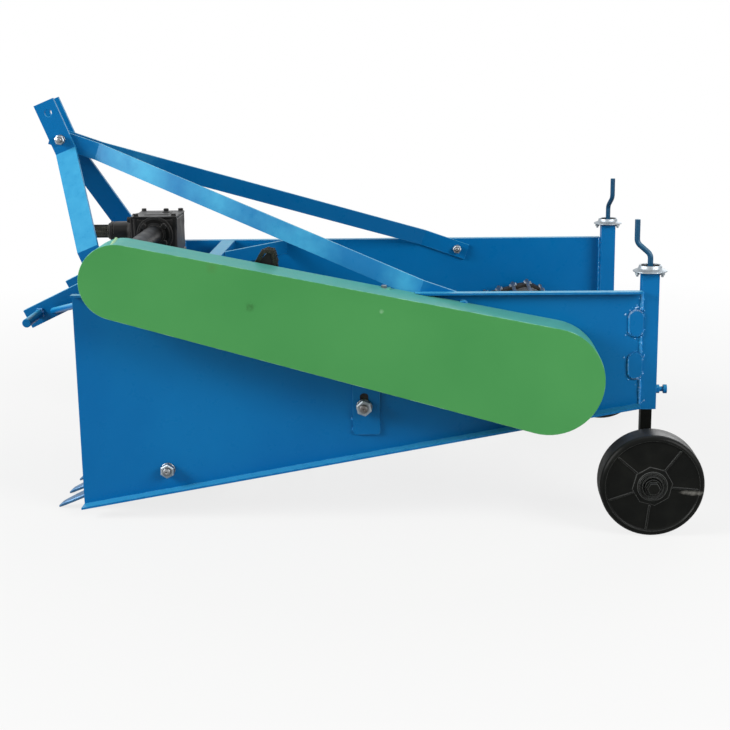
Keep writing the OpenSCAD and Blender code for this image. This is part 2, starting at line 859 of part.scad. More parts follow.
// A crank rod: up out of the flange, across in two round bends, and up to the handle.
// Its centre line is a list of stations [side step, height, lean from upright].
crank_sides = 16;
crank_steps = 6;
crank_start = flange_t + boss_h + crank_base;
crank_slant = (crank_step - 2 * crank_bend_r * (1 - cos(crank_lean))) / sin(crank_lean);
crank_slant_end = [crank_bend_r * (1 - cos(crank_lean)), crank_start + crank_bend_r * sin(crank_lean)]
    + crank_slant * [sin(crank_lean), cos(crank_lean)];
crank_centre = crank_slant_end + crank_bend_r * [-cos(crank_lean), sin(crank_lean)];
function crank_line(lift) = concat(
    [[0, 0, 0]],
    [for (i = [0 : crank_steps]) let (a = crank_lean * i / crank_steps)
        [crank_bend_r * (1 - cos(a)), lift + crank_start + crank_bend_r * sin(a), a]],
    [for (i = [crank_steps : -1 : 0]) let (a = crank_lean * i / crank_steps)
        [crank_centre[0] + crank_bend_r * cos(a), lift + crank_centre[1] - crank_bend_r * sin(a), a]],
    [[crank_step, lift + flange_t + boss_h + crank_h, 0]]);

// A round rod swept along stations in the XZ plane
module swept_rod(stations, d, sides) {
    last = len(stations) - 1;
    points = [for (st = stations, k = [0 : sides - 1]) let (a = 360 * k / sides)
        [st[0] + d / 2 * cos(a) * cos(st[2]), d / 2 * sin(a), st[1] - d / 2 * cos(a) * sin(st[2])]];
    walls = [for (i = [0 : last - 1], k = [0 : sides - 1]) let (n = (k + 1) % sides)
        [i * sides + k, (i + 1) * sides + k, (i + 1) * sides + n, i * sides + n]];
    bottom = [for (k = [0 : sides - 1]) k];
    top = [for (k = [sides - 1 : -1 : 0]) last * sides + k];
    polyhedron(points, concat(walls, [bottom, top]));
}

module crank(s, turn, lift) {
    color(blue) parked() on_side(s)
        translate([post_x, -post_y, post_top])
            rotate([0, 0, turn]) swept_rod(crank_line(lift), crank_d, crank_sides);
}

module crank_left() {
    crank(left, 165, 0);
}

module crank_right() {
    crank(right, 76, crank_lift);
}

module lock_bolts() {
    face = post_x + post_size / 2;
    color(blue) parked()
        for (s = [left, right]) on_side(s) {
            tip_gap = face - leg_x - leg_size / 2 - clearance;
            translate([face, -post_y, lock_z]) rotate([0, 90, 0]) {
                cylinder(d = lock_d * 1.8, h = lock_d * 0.8, $fn = 6);
                translate([0, 0, -tip_gap]) cylinder(d = lock_d, h = tip_gap + lock_len);
                translate([0, 0, lock_len - lock_d * 0.7]) cylinder(d = lock_d * 1.8, h = lock_d * 0.7);
            }
        }
}

// Oval plates welded over the joint of side plate and post
module joint_plates() {
    color(blue) parked()
        for (s = [left, right], z = joint_z) on_side(s)
            across(plate_outer, joint_t)
                translate([plate_len - joint_lead, z]) {
                    square([joint_w, joint_h - joint_w], center = true);
                    for (v = [-1, 1]) translate([0, v * (joint_h - joint_w) / 2]) circle(d = joint_w);
                }
}

// A leg with its stub axle, collar, washer and nut
module leg(s) {
    half = leg_size / 2;
    color(black) parked() on_side(s) {
        block([leg_x - half, leg_x + half], [post_y - half, post_y + half],
            [wheel_r - leg_size * 0.7, wheel_r + leg_len]);
        rod_y(post_x, wheel_r, leg_outer, leg_outer + stub_collar, stub_d * 1.5);
        rod_y(post_x, wheel_r, leg_outer, hub_end + clearance + washer_t + stub_nut_t, stub_d);
        rod_y(post_x, wheel_r, hub_end + clearance, hub_end + clearance + washer_t, stub_d * 1.9);
        rod_y(post_x, wheel_r, hub_end + clearance + washer_t, hub_end + clearance + washer_t + stub_nut_t,
            stub_d * 1.5, 6);
    }
}

module leg_left() {
    leg(left);
}

module leg_right() {
    leg(right);
}

// A pressed wheel: rim with round shoulders, disc, hub, an eight-sided ridge and radial ribs
rib_angles = [-5, 53, 139, 199, 263];
module wheel(s) {
    shoulder = 12;
    rim_end = rim_start + wheel_w;
    disc_end = rim_end - disc_inset;
    inner_r = wheel_r - rim_t;
    rib_w = 4;
    rib_h = 2;
    color(black) parked() on_side(s)
        translate([post_x, 0, wheel_r]) rotate([90, 0, 0]) {
            rotate_extrude() {
                difference() {
                    union() {
                        translate([inner_r, rim_start + shoulder]) square([rim_t, wheel_w - 2 * shoulder]);
                        translate([inner_r - shoulder + rim_t, rim_start])
                            square([shoulder - rim_t + 1, wheel_w]);
                        for (y = [rim_start + shoulder, rim_end - shoulder])
                            translate([wheel_r - shoulder, y]) circle(shoulder);
                    }
                    translate([0, rim_start - 1]) square([wheel_r - shoulder, wheel_w + 2]);
                }
                translate([hub_d / 2 - 2, disc_end - disc_t])
                    square([wheel_r - shoulder - hub_d / 2 + 3, disc_t]);
                translate([stub_d / 2 + clearance, hub_start])
                    square([hub_d / 2 - stub_d / 2 - clearance, hub_len]);
            }
            for (a = rib_angles)
                rotate([0, 0, a])
                    translate([ridge_r, -rib_w / 2, disc_end - 1])
                        cube([wheel_r - shoulder - ridge_r - rib_w, rib_w, 1 + rib_h]);
            translate([0, 0, disc_end - 1])
                difference() {
                    cylinder(r = ridge_r, h = 1 + rib_h, $fn = 8);
                    translate([0, 0, -1]) cylinder(r = ridge_r - rib_w, h = 3 + rib_h, $fn = 8);
                }
        }
}

module wheel_left() {
    wheel(left);
}

module wheel_right() {
    wheel(right);
}

side_plate_left();
side_plate_right();
front_beam();
cross_bar();
rails();
diagonals();
arm_left();
arm_right();
stays();
mast_left();
mast_right();
mast_bolt();
brace_left();
brace_right();
gearbox_base();
gearbox_housing();
gearbox_cover();
input_housing();
pto_shaft();
output_tube();
chain_guard();
digging_share();
share_beam();
conveyor_web();
drive_shaft();
drive_bearings();
front_roller();
support_roller();
adjusters();
tensioner_block();
post_left();
post_right();
flange_left();
flange_right();
crank_left();
crank_right();
lock_bolts();
joint_plates();
leg_left();
leg_right();
wheel_left();
wheel_right();
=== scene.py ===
import json
import math
import random
import bmesh
import bpy
from mathutils import Matrix, Vector

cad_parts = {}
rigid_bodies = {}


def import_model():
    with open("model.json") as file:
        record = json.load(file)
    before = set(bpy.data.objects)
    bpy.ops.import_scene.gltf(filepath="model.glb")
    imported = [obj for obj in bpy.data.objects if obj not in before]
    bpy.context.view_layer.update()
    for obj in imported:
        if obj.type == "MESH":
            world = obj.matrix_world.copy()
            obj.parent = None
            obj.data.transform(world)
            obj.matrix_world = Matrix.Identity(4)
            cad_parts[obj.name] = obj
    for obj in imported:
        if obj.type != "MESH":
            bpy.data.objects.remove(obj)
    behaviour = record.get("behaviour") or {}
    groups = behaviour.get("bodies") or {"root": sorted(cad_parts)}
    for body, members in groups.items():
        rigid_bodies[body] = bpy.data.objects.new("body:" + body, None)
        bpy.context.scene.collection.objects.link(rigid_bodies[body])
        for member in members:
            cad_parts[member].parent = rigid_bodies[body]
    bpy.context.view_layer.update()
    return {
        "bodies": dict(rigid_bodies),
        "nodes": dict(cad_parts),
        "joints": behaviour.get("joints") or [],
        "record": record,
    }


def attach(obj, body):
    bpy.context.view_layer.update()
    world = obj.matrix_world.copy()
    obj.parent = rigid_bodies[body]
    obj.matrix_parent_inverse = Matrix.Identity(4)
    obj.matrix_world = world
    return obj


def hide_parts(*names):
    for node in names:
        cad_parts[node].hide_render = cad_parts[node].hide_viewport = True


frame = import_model()
random.seed(7)
mm = 0.001
sides = (("left", -1), ("right", 1))

# drawn upright in millimetres: x behind the plates' front edge, z above the tread line, left is -Y
machine = {
    "axleX": 1370, "wheelRadius": 122, "plateOuter": 440, "plateInner": 435, "plateRear": 1350,
    "plateRearBottom": 287, "postX": 1370, "postY": 420, "postTop": 606, "driveX": 1130, "driveZ": 371,
    "rollerX": 212, "rollerZ": 127, "supportX": 694.87, "gearX": 134, "gearZ": 654.4, "gearTop": 694.4,
    "gearBottom": 600.4}
outer, inner = machine["plateOuter"], machine["plateInner"]

# it parks nose down: the joints say where the left axle stands and how far the slide leans
joints = {joint["name"]: joint for joint in frame["joints"]}
axlePlace = joints["wheel_spin_left"]["pos_m"]
slideAxis = joints["leg_slide_left"]["axis"]
parkMatrix = (Matrix.Translation((axlePlace[0], 0, machine["wheelRadius"] * mm))
              @ Matrix.Rotation(math.atan2(slideAxis[0], slideAxis[2]), 4, "Y")
              @ Matrix.Translation((-machine["axleX"] * mm, 0, -machine["wheelRadius"] * mm)))


def hexLinear(code):
    parts = [int(code[i:i + 2], 16) / 255 for i in (1, 3, 5)]
    return [c / 12.92 if c <= 0.04045 else ((c + 0.055) / 1.055) ** 2.4 for c in parts] + [1.0]


# adds a node with its settings and links and gives back the output that is used
def addNode(tree, kind, settings=None, links=None, output=0):
    node = tree.nodes.new("ShaderNode" + kind)
    for key, value in (settings or {}).items():
        if isinstance(key, str) and hasattr(node, key):
            setattr(node, key, value)
        else:
            node.inputs[key].default_value = hexLinear(value) if isinstance(value, str) else value
    for key, source in (links or {}).items():
        tree.links.new(source, node.inputs[key])
    return node.outputs[output]


# sockets of a Mix node that mixes colours: the one below, the one laid over it, and the result
mixBase, mixOver, mixed = 6, 7, 2


def newMaterial(name, settings):
    material = bpy.data.materials.new(name)
    material.use_nodes = True
    tree = material.node_tree
    shader = tree.nodes["Principled BSDF"]
    for key, value in settings.items():
        shader.inputs[key].default_value = value
    return material, tree, shader, addNode(tree, "TexCoord", output="Object")


# brings colour, roughness and a bump of a depth in millimetres to the shader
def linkShader(tree, shader, colour, gloss, relief, strength, depthMm):
    bump = addNode(tree, "Bump", {"Strength": strength, "Distance": depthMm * mm}, {"Height": relief})
    for key, source in (("Base Color", colour), ("Roughness", gloss), ("Normal", bump)):
        if source is not None:
            tree.links.new(source, shader.inputs[key])


# how much an edge is rubbed or given a painted glint: none where the face is flat, all where a rounded edge
# would turn this far
def edgeMask(tree, normal, radiusMm, turn, amount):
    rounded = addNode(tree, "Bevel", {"samples": 4, "Radius": radiusMm * mm})
    facing = addNode(tree, "VectorMath", {"operation": "DOT_PRODUCT"}, {0: rounded, 1: normal}, "Value")
    return addNode(tree, "MapRange", {"From Min": turn[0], "From Max": turn[1], "To Max": amount},
                   {"Value": facing})


# ragged spots over the colour, each at a place on the machine
def addSpots(tree, coords, colour, spots, grain, start):
    for spot in spots:
        centre = parkMatrix @ (Vector(spot["at"]) * mm)
        offset = addNode(tree, "VectorMath", {"operation": "SUBTRACT", 1: centre}, {0: coords})
        drawn = addNode(tree, "VectorMath", {"operation": "MULTIPLY", 1: spot["stretch"]}, {0: offset})
        away = addNode(tree, "VectorMath", {"operation": "LENGTH"}, {0: drawn}, "Value")
        near = addNode(tree, "MapRange", {"From Min": spot["size"] * mm, "From Max": 0.0}, {"Value": away})
        ragged = addNode(tree, "TexNoise", {"Scale": 1000 / spot["grainMm"], **grain}, {"Vector": coords})
        blot = addNode(tree, "Math", {"operation": "MULTIPLY"}, {0: near, 1: ragged})
        strength = addNode(tree, "MapRange", {"From Min": start, "From Max": 0.5, "To Max": spot["strength"]},
                           {"Value": blot})
        colour = addNode(tree, "Mix", {"data_type": "RGBA", mixOver: spot["tone"]},
                         {0: strength, mixBase: colour}, mixed)
    return colour


# gloss enamel sprayed on steel: orange peel, cloudy fading, dust and painted sky sheen on top faces, rubbed
# edges with painted glints, a few stains and painted sheen patches
def makeEnamel(paint):
    material, tree, shader, coords = newMaterial(
        paint["title"], {"IOR": 1.5, "Specular IOR Level": paint["shine"]})
    cloud = addNode(tree, "TexNoise", {"Scale": 1000 / paint["cloudMm"], "Detail": 3.0}, {"Vector": coords})
    fading = addNode(tree, "MapRange", {"From Min": 0.36, "From Max": 0.66}, {"Value": cloud})
    colour = addNode(tree, "Mix", {"data_type": "RGBA", mixBase: paint["tone"], mixOver: paint["faded"]},
                     {0: fading}, mixed)
    # where the surface looks up, a light layer in flecks about 28 mm across stands for dust and paints the
    # sky's sheen on top faces
    fleckMm = 28
    normal = addNode(tree, "NewGeometry", output="Normal")
    upward = addNode(tree, "SeparateXYZ", None, {0: normal}, "Z")
    flat = addNode(tree, "MapRange", {"From Min": 0.0, "From Max": 0.9, "To Max": paint["dustAndSheenAmount"]},
                   {"Value": upward})
    fleck = addNode(tree, "TexNoise", {"Scale": 1000 / fleckMm, "Detail": 6.0, "Roughness": 0.65},
                    {"Vector": coords})
    uneven = addNode(tree, "MapRange", {"From Min": 0.3, "From Max": 0.7, "To Min": 0.75}, {"Value": fleck})
    loose = addNode(tree, "Math", {"operation": "MULTIPLY"}, {0: flat, 1: uneven})
    # painted shade: the upward layer is halved below 0.3 m and full above 0.5 m, so low ledges such as the
    # bottom flange look shaded
    height = addNode(tree, "SeparateXYZ", None, {0: coords}, "Z")
    shadedLow = addNode(tree, "MapRange", {"From Min": 0.3, "From Max": 0.5, "To Min": 0.5}, {"Value": height})
    dustAndSheenLayer = addNode(tree, "Math", {"operation": "MULTIPLY"}, {0: loose, 1: shadedLow})
    # paint is rubbed thin along bent and cut edges, and the lighter edge colour also paints glints of light
    # along them
    edge = edgeMask(tree, normal, radiusMm=3, turn=(0.99, 0.9), amount=paint["edgeRubAndGlint"])
    broken = addNode(tree, "MapRange", {"From Min": paint["bare"], "From Max": paint["bare"] + 0.2},
                     {"Value": fleck})
    edgeRubAndGlintMask = addNode(tree, "Math", {"operation": "MULTIPLY"}, {0: edge, 1: broken})
    # fine chips, 2 to 4 mm wide, in a pattern 9 mm across
    chipMm = 9
    chip = addNode(tree, "TexNoise", {"Scale": 1000 / chipMm, "Detail": 4.0, "Roughness": 0.6},
                   {"Vector": coords})
    chipped = addNode(tree, "MapRange", {"From Min": 0.765, "From Max": 0.78}, {"Value": chip})
    for mask, layer in ((dustAndSheenLayer, "dustAndSheen"), (edgeRubAndGlintMask, "edge"), (chipped, "primer")):
        colour = addNode(tree, "Mix", {"data_type": "RGBA", mixOver: paint[layer]},
                         {0: mask, mixBase: colour}, mixed)
    colour = addSpots(tree, coords, colour, paint["stains"],
                      grain={"Detail": 4.0, "Roughness": 0.6}, start=0.18)
    gloss = addNode(tree, "MapRange", {"From Min": 0.3, "From Max": 0.7, "To Min": paint["smooth"],
                                       "To Max": paint["rough"]}, {"Value": fleck})
    # orange peel is 1 to 2 mm across, and drawn at 6 mm so that it shows
    peelMm = 6
    peel = addNode(tree, "TexNoise", {"Scale": 1000 / peelMm, "Detail": 2.0}, {"Vector": coords})
    linkShader(tree, shader, colour, gloss, peel, strength=0.5, depthMm=0.12)
    return material


# sand-cast iron under black paint: pitted grain, brown oil film, rubbed edges with painted glints, dust and
# painted sky sheen on top faces
def makeCasting(iron):
    material, tree, shader, coords = newMaterial(
        iron["title"], {"IOR": 1.5, "Specular IOR Level": iron["shine"]})
    filmMm = 45
    patch = addNode(tree, "TexNoise", {"Scale": 1000 / filmMm, "Detail": 4.0}, {"Vector": coords})
    film = addNode(tree, "MapRange", {"From Min": 0.4, "From Max": 0.7}, {"Value": patch})
    colour = addNode(tree, "Mix", {"data_type": "RGBA", mixBase: iron["tone"], mixOver: iron["oil"]},
                     {0: film}, mixed)
    normal = addNode(tree, "NewGeometry", output="Normal")
    # rubbed edges, whose lighter colour also paints glints on ribs and rims
    edge = edgeMask(tree, normal, radiusMm=2, turn=(0.98, 0.85), amount=iron["edgeRubAndGlint"])
    # faces that look up get a grey layer that stands for dust and paints the sky's sheen on them
    upward = addNode(tree, "SeparateXYZ", None, {0: normal}, "Z")
    flat = addNode(tree, "MapRange", {"From Min": 0.6, "From Max": 1.0, "To Max": iron["dustAndSheenAmount"]},
                   {"Value": upward})
    for mask, layer in ((edge, "edge"), (flat, "dustAndSheen")):
        colour = addNode(tree, "Mix", {"data_type": "RGBA", mixOver: iron[layer]},
                         {0: mask, mixBase: colour}, mixed)
    colour = addSpots(tree, coords, colour, iron["smears"],
                      grain={"Detail": 6.0, "Roughness": 0.7}, start=0.2)
    gloss = addNode(tree, "MapRange", {"From Min": 0.35, "From Max": 0.65, "To Min": iron["smooth"],
                                       "To Max": iron["rough"]}, {"Value": patch})
    grain = addNode(tree, "TexNoise", {"Scale": 1000 / iron["grainMm"], "Detail": 3.0}, {"Vector": coords})
    linkShader(tree, shader, colour, gloss, grain, strength=1.0, depthMm=iron["depthMm"])
    return material


# steel without paint: grey metal with working marks along one direction, brown scale, painted shade and grime
# in corners
def makeSteel(steel):
    material, tree, shader, coords = newMaterial(steel["title"], {"Metallic": steel["metal"]})
    stretch = addNode(tree, "Mapping", {"Scale": steel["stretch"]}, {"Vector": coords})
    lines = addNode(tree, "TexNoise", {"Scale": 1000 / steel["lineMm"], "Detail": 4.0}, {"Vector": stretch})
    marks = addNode(tree, "MapRange", {"From Min": 0.3, "From Max": 0.7}, {"Value": lines})
    colour = addNode(tree, "Mix", {"data_type": "RGBA", mixBase: steel["tone"], mixOver: steel["bright"]},
                     {0: marks}, mixed)
    patch = addNode(tree, "TexNoise", {"Scale": 1000 / steel["patchMm"], "Detail": 5.0, "Roughness": 0.6},
                    {"Vector": coords})
    scaled = addNode(tree, "MapRange", {"From Min": 0.48, "From Max": 0.72, "To Max": steel["scaled"]},
                     {"Value": patch})
    # painted shade: corners and openings up to 14 mm deep are darkened with a dark brown that stands for
    # their shade as well as oil and dirt
    cornerMm = 14
    hollow = addNode(tree, "AmbientOcclusion", {"samples": 6, "Distance": cornerMm * mm}, output="AO")
    corner = addNode(tree, "MapRange", {"From Min": 0.35, "From Max": 0.95, "To Min": steel["shadeAndGrime"],
                                        "To Max": 0.0}, {"Value": hollow})
    for mask, layer in ((scaled, "scale"), (corner, "shadeAndGrimeTone")):
        colour = addNode(tree, "Mix", {"data_type": "RGBA", mixOver: steel[layer]},
                         {0: mask, mixBase: colour}, mixed)
    gloss = addNode(tree, "MapRange", {"From Min": 0.4, "From Max": 0.7, "To Min": steel["smooth"],
                                       "To Max": steel["rough"]}, {"Value": patch})
    linkShader(tree, shader, colour, gloss, lines, strength=0.6, depthMm=0.1)
    return material


# moulded rubber with a woven core: dull black, soil in patches, cross ribs of the weave
def makeRubber(rubber):
    material, tree, shader, coords = newMaterial(
        rubber["title"], {"IOR": 1.52, "Specular IOR Level": 0.3, "Roughness": 0.75})
    soilMm = 60
    patch = addNode(tree, "TexNoise", {"Scale": 1000 / soilMm, "Detail": 5.0}, {"Vector": coords})
    colour = addNode(tree, "Mix", {"data_type": "RGBA", mixBase: rubber["tone"], mixOver: rubber["soil"]},
                     {0: patch}, mixed)
    weave = addNode(tree, "TexWave", {"bands_direction": "Y", "Scale": 1000 / rubber["weaveMm"] / math.tau,
                                      "Distortion": 0.6}, {"Vector": coords}, "Fac")
    linkShader(tree, shader, colour, None, weave, strength=0.7, depthMm=0.4)
    return material


evenly = (1, 1, 1)
# pale patches on the near brace, part dust and part painted sky sheen on the lit brace: where, how wide, how
# strong
braceDustAndSheen = [((90, -67, 830), 240, 0.42), ((330, -180, 745), 200, 0.36), ((540, -285, 671), 220, 0.42),
             ((800, -400, 580), 120, 0.36)]
# green and pale stains on the guard: where, how wide, how strong, colour
guardStains = [((356, -550, 643), 26, 0.35, "#4a6a35"), ((441, -550, 552), 22, 0.6, "#2f5a2e"),
               ((743, -545, 540), 12, 0.5, "#b9d6bd")]
looks = {
    "blueEnamel": {
        "slot": "blue_paint", "make": makeEnamel, "title": "blue gloss enamel", "tone": "#035a92",
        "faded": "#066097", "dustAndSheen": "#55bedb", "dustAndSheenAmount": 0.56, "edge": "#5aa6d6", "edgeRubAndGlint": 0.4, "bare": 0.42,
        "primer": "#0a3357", "shine": 0.1, "cloudMm": 260, "smooth": 0.24, "rough": 0.4,
        "stains": [{"at": at, "size": size, "strength": strength, "tone": "#54bcd8", "grainMm": 120,
                    "stretch": evenly} for at, size, strength in braceDustAndSheen]},
    # the teal colour of the green enamel's upward layer paints the sky's reflection on the guard's top band,
    # along with dust
    "greenEnamel": {
        "slot": "green_paint", "make": makeEnamel, "title": "green gloss enamel", "tone": "#3f8347",
        "faded": "#44884b", "dustAndSheen": "#58aaab", "dustAndSheenAmount": 0.75, "edge": "#a9d8b4", "edgeRubAndGlint": 0.6, "bare": 0.42,
        "primer": "#2d6a38", "shine": 0.1, "cloudMm": 300, "smooth": 0.3, "rough": 0.46,
        "stains": [{"at": at, "size": size, "strength": strength, "tone": tone, "grainMm": 11,
                    "stretch": evenly} for at, size, strength, tone in guardStains]},
    # thick enamel run over weld metal, so smoother and brighter than on flat sheet; its near-white edge
    # colour, laid fully on bead and spatter edges, paints the lamp's sparkle on the welds
    "weldEnamel": {
        "slot": "blue_paint", "make": makeEnamel, "title": "blue enamel over welds", "tone": "#0a6aa6",
        "faded": "#1177b2", "dustAndSheen": "#7cc4ee", "dustAndSheenAmount": 0.3, "edge": "#e4f3fb", "edgeRubAndGlint": 1.0, "bare": 0.54,
        "primer": "#0a3357", "shine": 0.6, "cloudMm": 40, "smooth": 0.07, "rough": 0.15, "stains": []},
    # paint lies thin and chalky over the filler of the guard's lap seam
    "seamEnamel": {
        "slot": "green_paint", "make": makeEnamel, "title": "green enamel over a lap seam", "tone": "#83b681",
        "faded": "#97c592", "dustAndSheen": "#a3cda0", "dustAndSheenAmount": 0.6, "edge": "#b5d9b0", "edgeRubAndGlint": 0.5, "bare": 0.42,
        "primer": "#5f9a66", "shine": 0.3, "cloudMm": 30, "smooth": 0.25, "rough": 0.45, "stains": []},
    # the hand cranks are painted thinly and handled, so greyer
    "thinEnamel": {
        "slot": "blue_paint", "make": makeEnamel, "title": "blue enamel worn by hands", "tone": "#093754",
        "faded": "#0f4565", "dustAndSheen": "#63aac6", "dustAndSheenAmount": 0.2, "edge": "#6f9fb8", "edgeRubAndGlint": 0.25, "bare": 0.42,
        "primer": "#172d3c", "shine": 0.25, "cloudMm": 50, "smooth": 0.25, "rough": 0.45, "stains": []},
    "blackCasting": {
        "slot": "black_casting", "make": makeCasting, "title": "black painted cast iron", "tone": "#131313",
        "oil": "#1e1c1b", "edge": "#5d5a57", "edgeRubAndGlint": 0.4, "dustAndSheen": "#6f6f6f", "dustAndSheenAmount": 0.45, "shine": 0.2,
        "smooth": 0.3, "rough": 0.5, "grainMm": 5, "depthMm": 0.4, "smears": []},
    # the drawn output tube takes a smoother, cleaner coat than the castings
    "tubePaint": {
        "slot": "black_casting", "make": makeCasting, "title": "black paint on drawn tube", "tone": "#0e0e0e",
        "oil": "#151413", "edge": "#6b6966", "edgeRubAndGlint": 0.4, "dustAndSheen": "#3c3e40", "dustAndSheenAmount": 0.3, "shine": 0.1,
        "smooth": 0.3, "rough": 0.46, "grainMm": 8, "depthMm": 0.12, "smears": []},
    "blackPaint": {
        "slot": "black_paint", "make": makeCasting, "title": "satin black paint on pressed steel",
        "tone": "#0c0d0c", "oil": "#121311", "edge": "#7b7d7b", "edgeRubAndGlint": 0.42, "dustAndSheen": "#3c3e40",
        "dustAndSheenAmount": 0.3, "shine": 0.08, "smooth": 0.3, "rough": 0.44, "grainMm": 9, "depthMm": 0.12,
        "smears": [{"at": (1462, -560, 106), "size": 36, "strength": 0.45, "tone": "#a9a7a0", "grainMm": 14,
                    "stretch": (0.7, 1, 3.0)}]},
    "bareSteel": {
        "slot": "bare_steel", "make": makeSteel, "title": "rolled bare steel", "tone": "#74777a",
        "bright": "#9a9da0", "scale": "#4f443c", "scaled": 0.7, "stretch": (1, 8, 1), "lineMm": 30,
        "patchMm": 35, "smooth": 0.32, "rough": 0.55, "metal": 1.0, "shadeAndGrime": 0.8, "shadeAndGrimeTone": "#241d18"},
    # share steel with a thin blue wash of paint left on it
    "washedSteel": {
        "slot": "bare_steel", "make": makeSteel, "title": "share steel under a wash of blue",
        "tone": "#1f5078", "bright": "#356a92", "scale": "#1c4160", "scaled": 0.7, "stretch": evenly,
        "lineMm": 22, "patchMm": 40, "smooth": 0.35, "rough": 0.55, "metal": 0.3, "shadeAndGrime": 0.5,
        "shadeAndGrimeTone": "#16293a"},
    "zincPlate": {
        "slot": "zinc_plate", "make": makeSteel, "title": "bright zinc plate", "tone": "#939ca3",
        "bright": "#a5aeb5", "scale": "#776f66", "scaled": 0.4, "stretch": evenly, "lineMm": 12,
        "patchMm": 20, "smooth": 0.4, "rough": 0.56, "metal": 1.0, "shadeAndGrime": 0.8, "shadeAndGrimeTone": "#1d1815"},
    "oiledSteel": {
        "slot": "bare_steel", "make": makeSteel, "title": "greased dark steel", "tone": "#292924",
        "bright": "#4b4a41", "scale": "#15120f", "scaled": 0.6, "stretch": (6, 1, 1), "lineMm": 18,
        "patchMm": 14, "smooth": 0.2, "rough": 0.42, "metal": 0.7, "shadeAndGrime": 0.9, "shadeAndGrimeTone": "#0b0a09"},
    "beltRubber": {
        "slot": "black_paint", "make": makeRubber, "title": "moulded belt rubber", "tone": "#1a1a1a",
        "soil": "#2d2925", "weaveMm": 4},
}
materials = {key: look["make"](look) for key, look in looks.items()}
print("materials made:", len(materials))

# every CAD node gets the first look of its slot, also the ones that a detailed piece stands for
nodeLook = {look["slot"]: key for key, look in reversed(looks.items())}
for part in frame["record"]["subparts"]:
    node = frame["nodes"][part["node"]]
    node.data.materials.clear()
    node.data.materials.append(materials[nodeLook[part["material_slot"]]])
print("CAD nodes painted:", len(frame["nodes"]))

mergeGap = 0.01 * mm
# blocks that get their real edges later start with a hair's edge, which is dissolved
hairEdge = {"edge": 0.01, "segments": 1}
hairAngle = math.radians(50)


def activate(piece):
    bpy.ops.object.select_all(action="DESELECT")
    piece.select_set(True)
    bpy.context.view_layer.objects.active = piece


def applyPlace(piece):
    activate(piece)
    bpy.ops.object.transform_apply(location=True, rotation=True, scale=True)


def applyModifier(piece, kind, settings):
    activate(piece)
    modifier = piece.modifiers.new(kind.lower(), kind)
    for key, value in settings.items():
        setattr(modifier, key, value)
    bpy.ops.object.modifier_apply(modifier=modifier.name)


# rounds the edges that turn by more than an angle
def softenEdges(piece, width, segments, angle):
    applyModifier(piece, "BEVEL", {"width": width * mm, "segments": segments, "limit_method": "ANGLE",
                                   "angle_limit": math.radians(angle)})


def addPrimitive(adder, **settings):
    bpy.ops.object.select_all(action="DESELECT")
    adder(**settings)
    return bpy.context.object


def editAll(piece):
    activate(piece)
    bpy.ops.object.mode_set(mode="EDIT")
    bpy.ops.mesh.select_all(action="SELECT")


def leaveEdit():
    bpy.ops.object.mode_set(mode="OBJECT")


def extrudeBy(x, y, z):
    bpy.ops.mesh.extrude_region_move(TRANSFORM_OT_translate={"value": (x * mm, y * mm, z * mm)})


def scaleAbout(centre, factors):
    bpy.ops.transform.resize(value=factors, center_override=[c * mm for c in centre])


# in edit mode, selects only the faces, edges or points that a test wants
def pickItems(piece, kind, wanted):
    bpy.ops.mesh.select_mode(type=kind)
    bpy.ops.mesh.select_all(action="DESELECT")
    shape = bmesh.from_edit_mesh(piece.data)
    for item in {"FACE": shape.faces, "EDGE": shape.edges, "VERT": shape.verts}[kind]:
        item.select_set(bool(wanted(item)))
    bmesh.update_edit_mesh(piece.data)


def pickFaces(piece, wanted):
    pickItems(piece, "FACE", lambda face: wanted(face.calc_center_median(), face.normal))


def pickEdges(piece, wanted):
    pickItems(piece, "EDGE", lambda edge: wanted(edge.verts[0].co, edge.verts[1].co))


def pickPoints(piece, wanted):
    pickItems(piece, "VERT", lambda point: wanted(point.co))


# merges what lies double and turns all faces outwards
def closeMesh(piece):
    editAll(piece)
    bpy.ops.mesh.remove_doubles(threshold=mergeGap)
    bpy.ops.mesh.normals_make_consistent(inside=False)
    leaveEdit()


# a block between two corners with its edges broken
def bevelledBlock(low, high, edge, segments=2):
    piece = addPrimitive(bpy.ops.mesh.primitive_cube_add, size=1)
    piece.scale = [(b - a) * mm for a, b in zip(low, high)]
    piece.location = [(a + b) / 2 * mm for a, b in zip(low, high)]
    applyPlace(piece)
    editAll(piece)
    bpy.ops.mesh.bevel(offset=edge * mm, segments=segments, affect="EDGES")
    leaveEdit()
    return piece


# a turned piece: one point is pulled along the profile of (radius, height) and spun round Z
def turnedPiece(profile, steps):
    piece = addPrimitive(bpy.ops.mesh.primitive_plane_add, size=0.01)
    bpy.ops.object.mode_set(mode="EDIT")
    bpy.ops.mesh.select_mode(type="VERT")
    bpy.ops.mesh.select_all(action="SELECT")
    bpy.ops.mesh.merge(type="CENTER")
    bpy.ops.transform.translate(value=(profile[0][0] * mm, 0, profile[0][1] * mm))
    for (r0, h0), (r1, h1) in zip(profile, profile[1:]):
        extrudeBy(r1 - r0, 0, h1 - h0)
    bpy.ops.mesh.select_all(action="SELECT")
    bpy.ops.mesh.spin(steps=steps, angle=2 * math.pi, center=(0, 0, 0), axis=(0, 0, 1))
    leaveEdit()
    closeMesh(piece)
    return piece


# a place in millimetres where a pattern's Z points along an axis
def aimed(place, axis, size=1.0, turn=0.0):
    facing = Vector((0, 0, 1)).rotation_difference(Vector(axis)).to_matrix().to_4x4()
    turned = Matrix.Rotation(math.radians(turn), 4, "Z")
    return Matrix.Translation(Vector(place) * mm) @ facing @ turned @ Matrix.Scale(size, 4)


def onCircle(centre, radius, angles):
    return [(centre[0] + radius * math.cos(math.radians(a)), centre[1] + radius * math.sin(math.radians(a)))
            for a in angles]


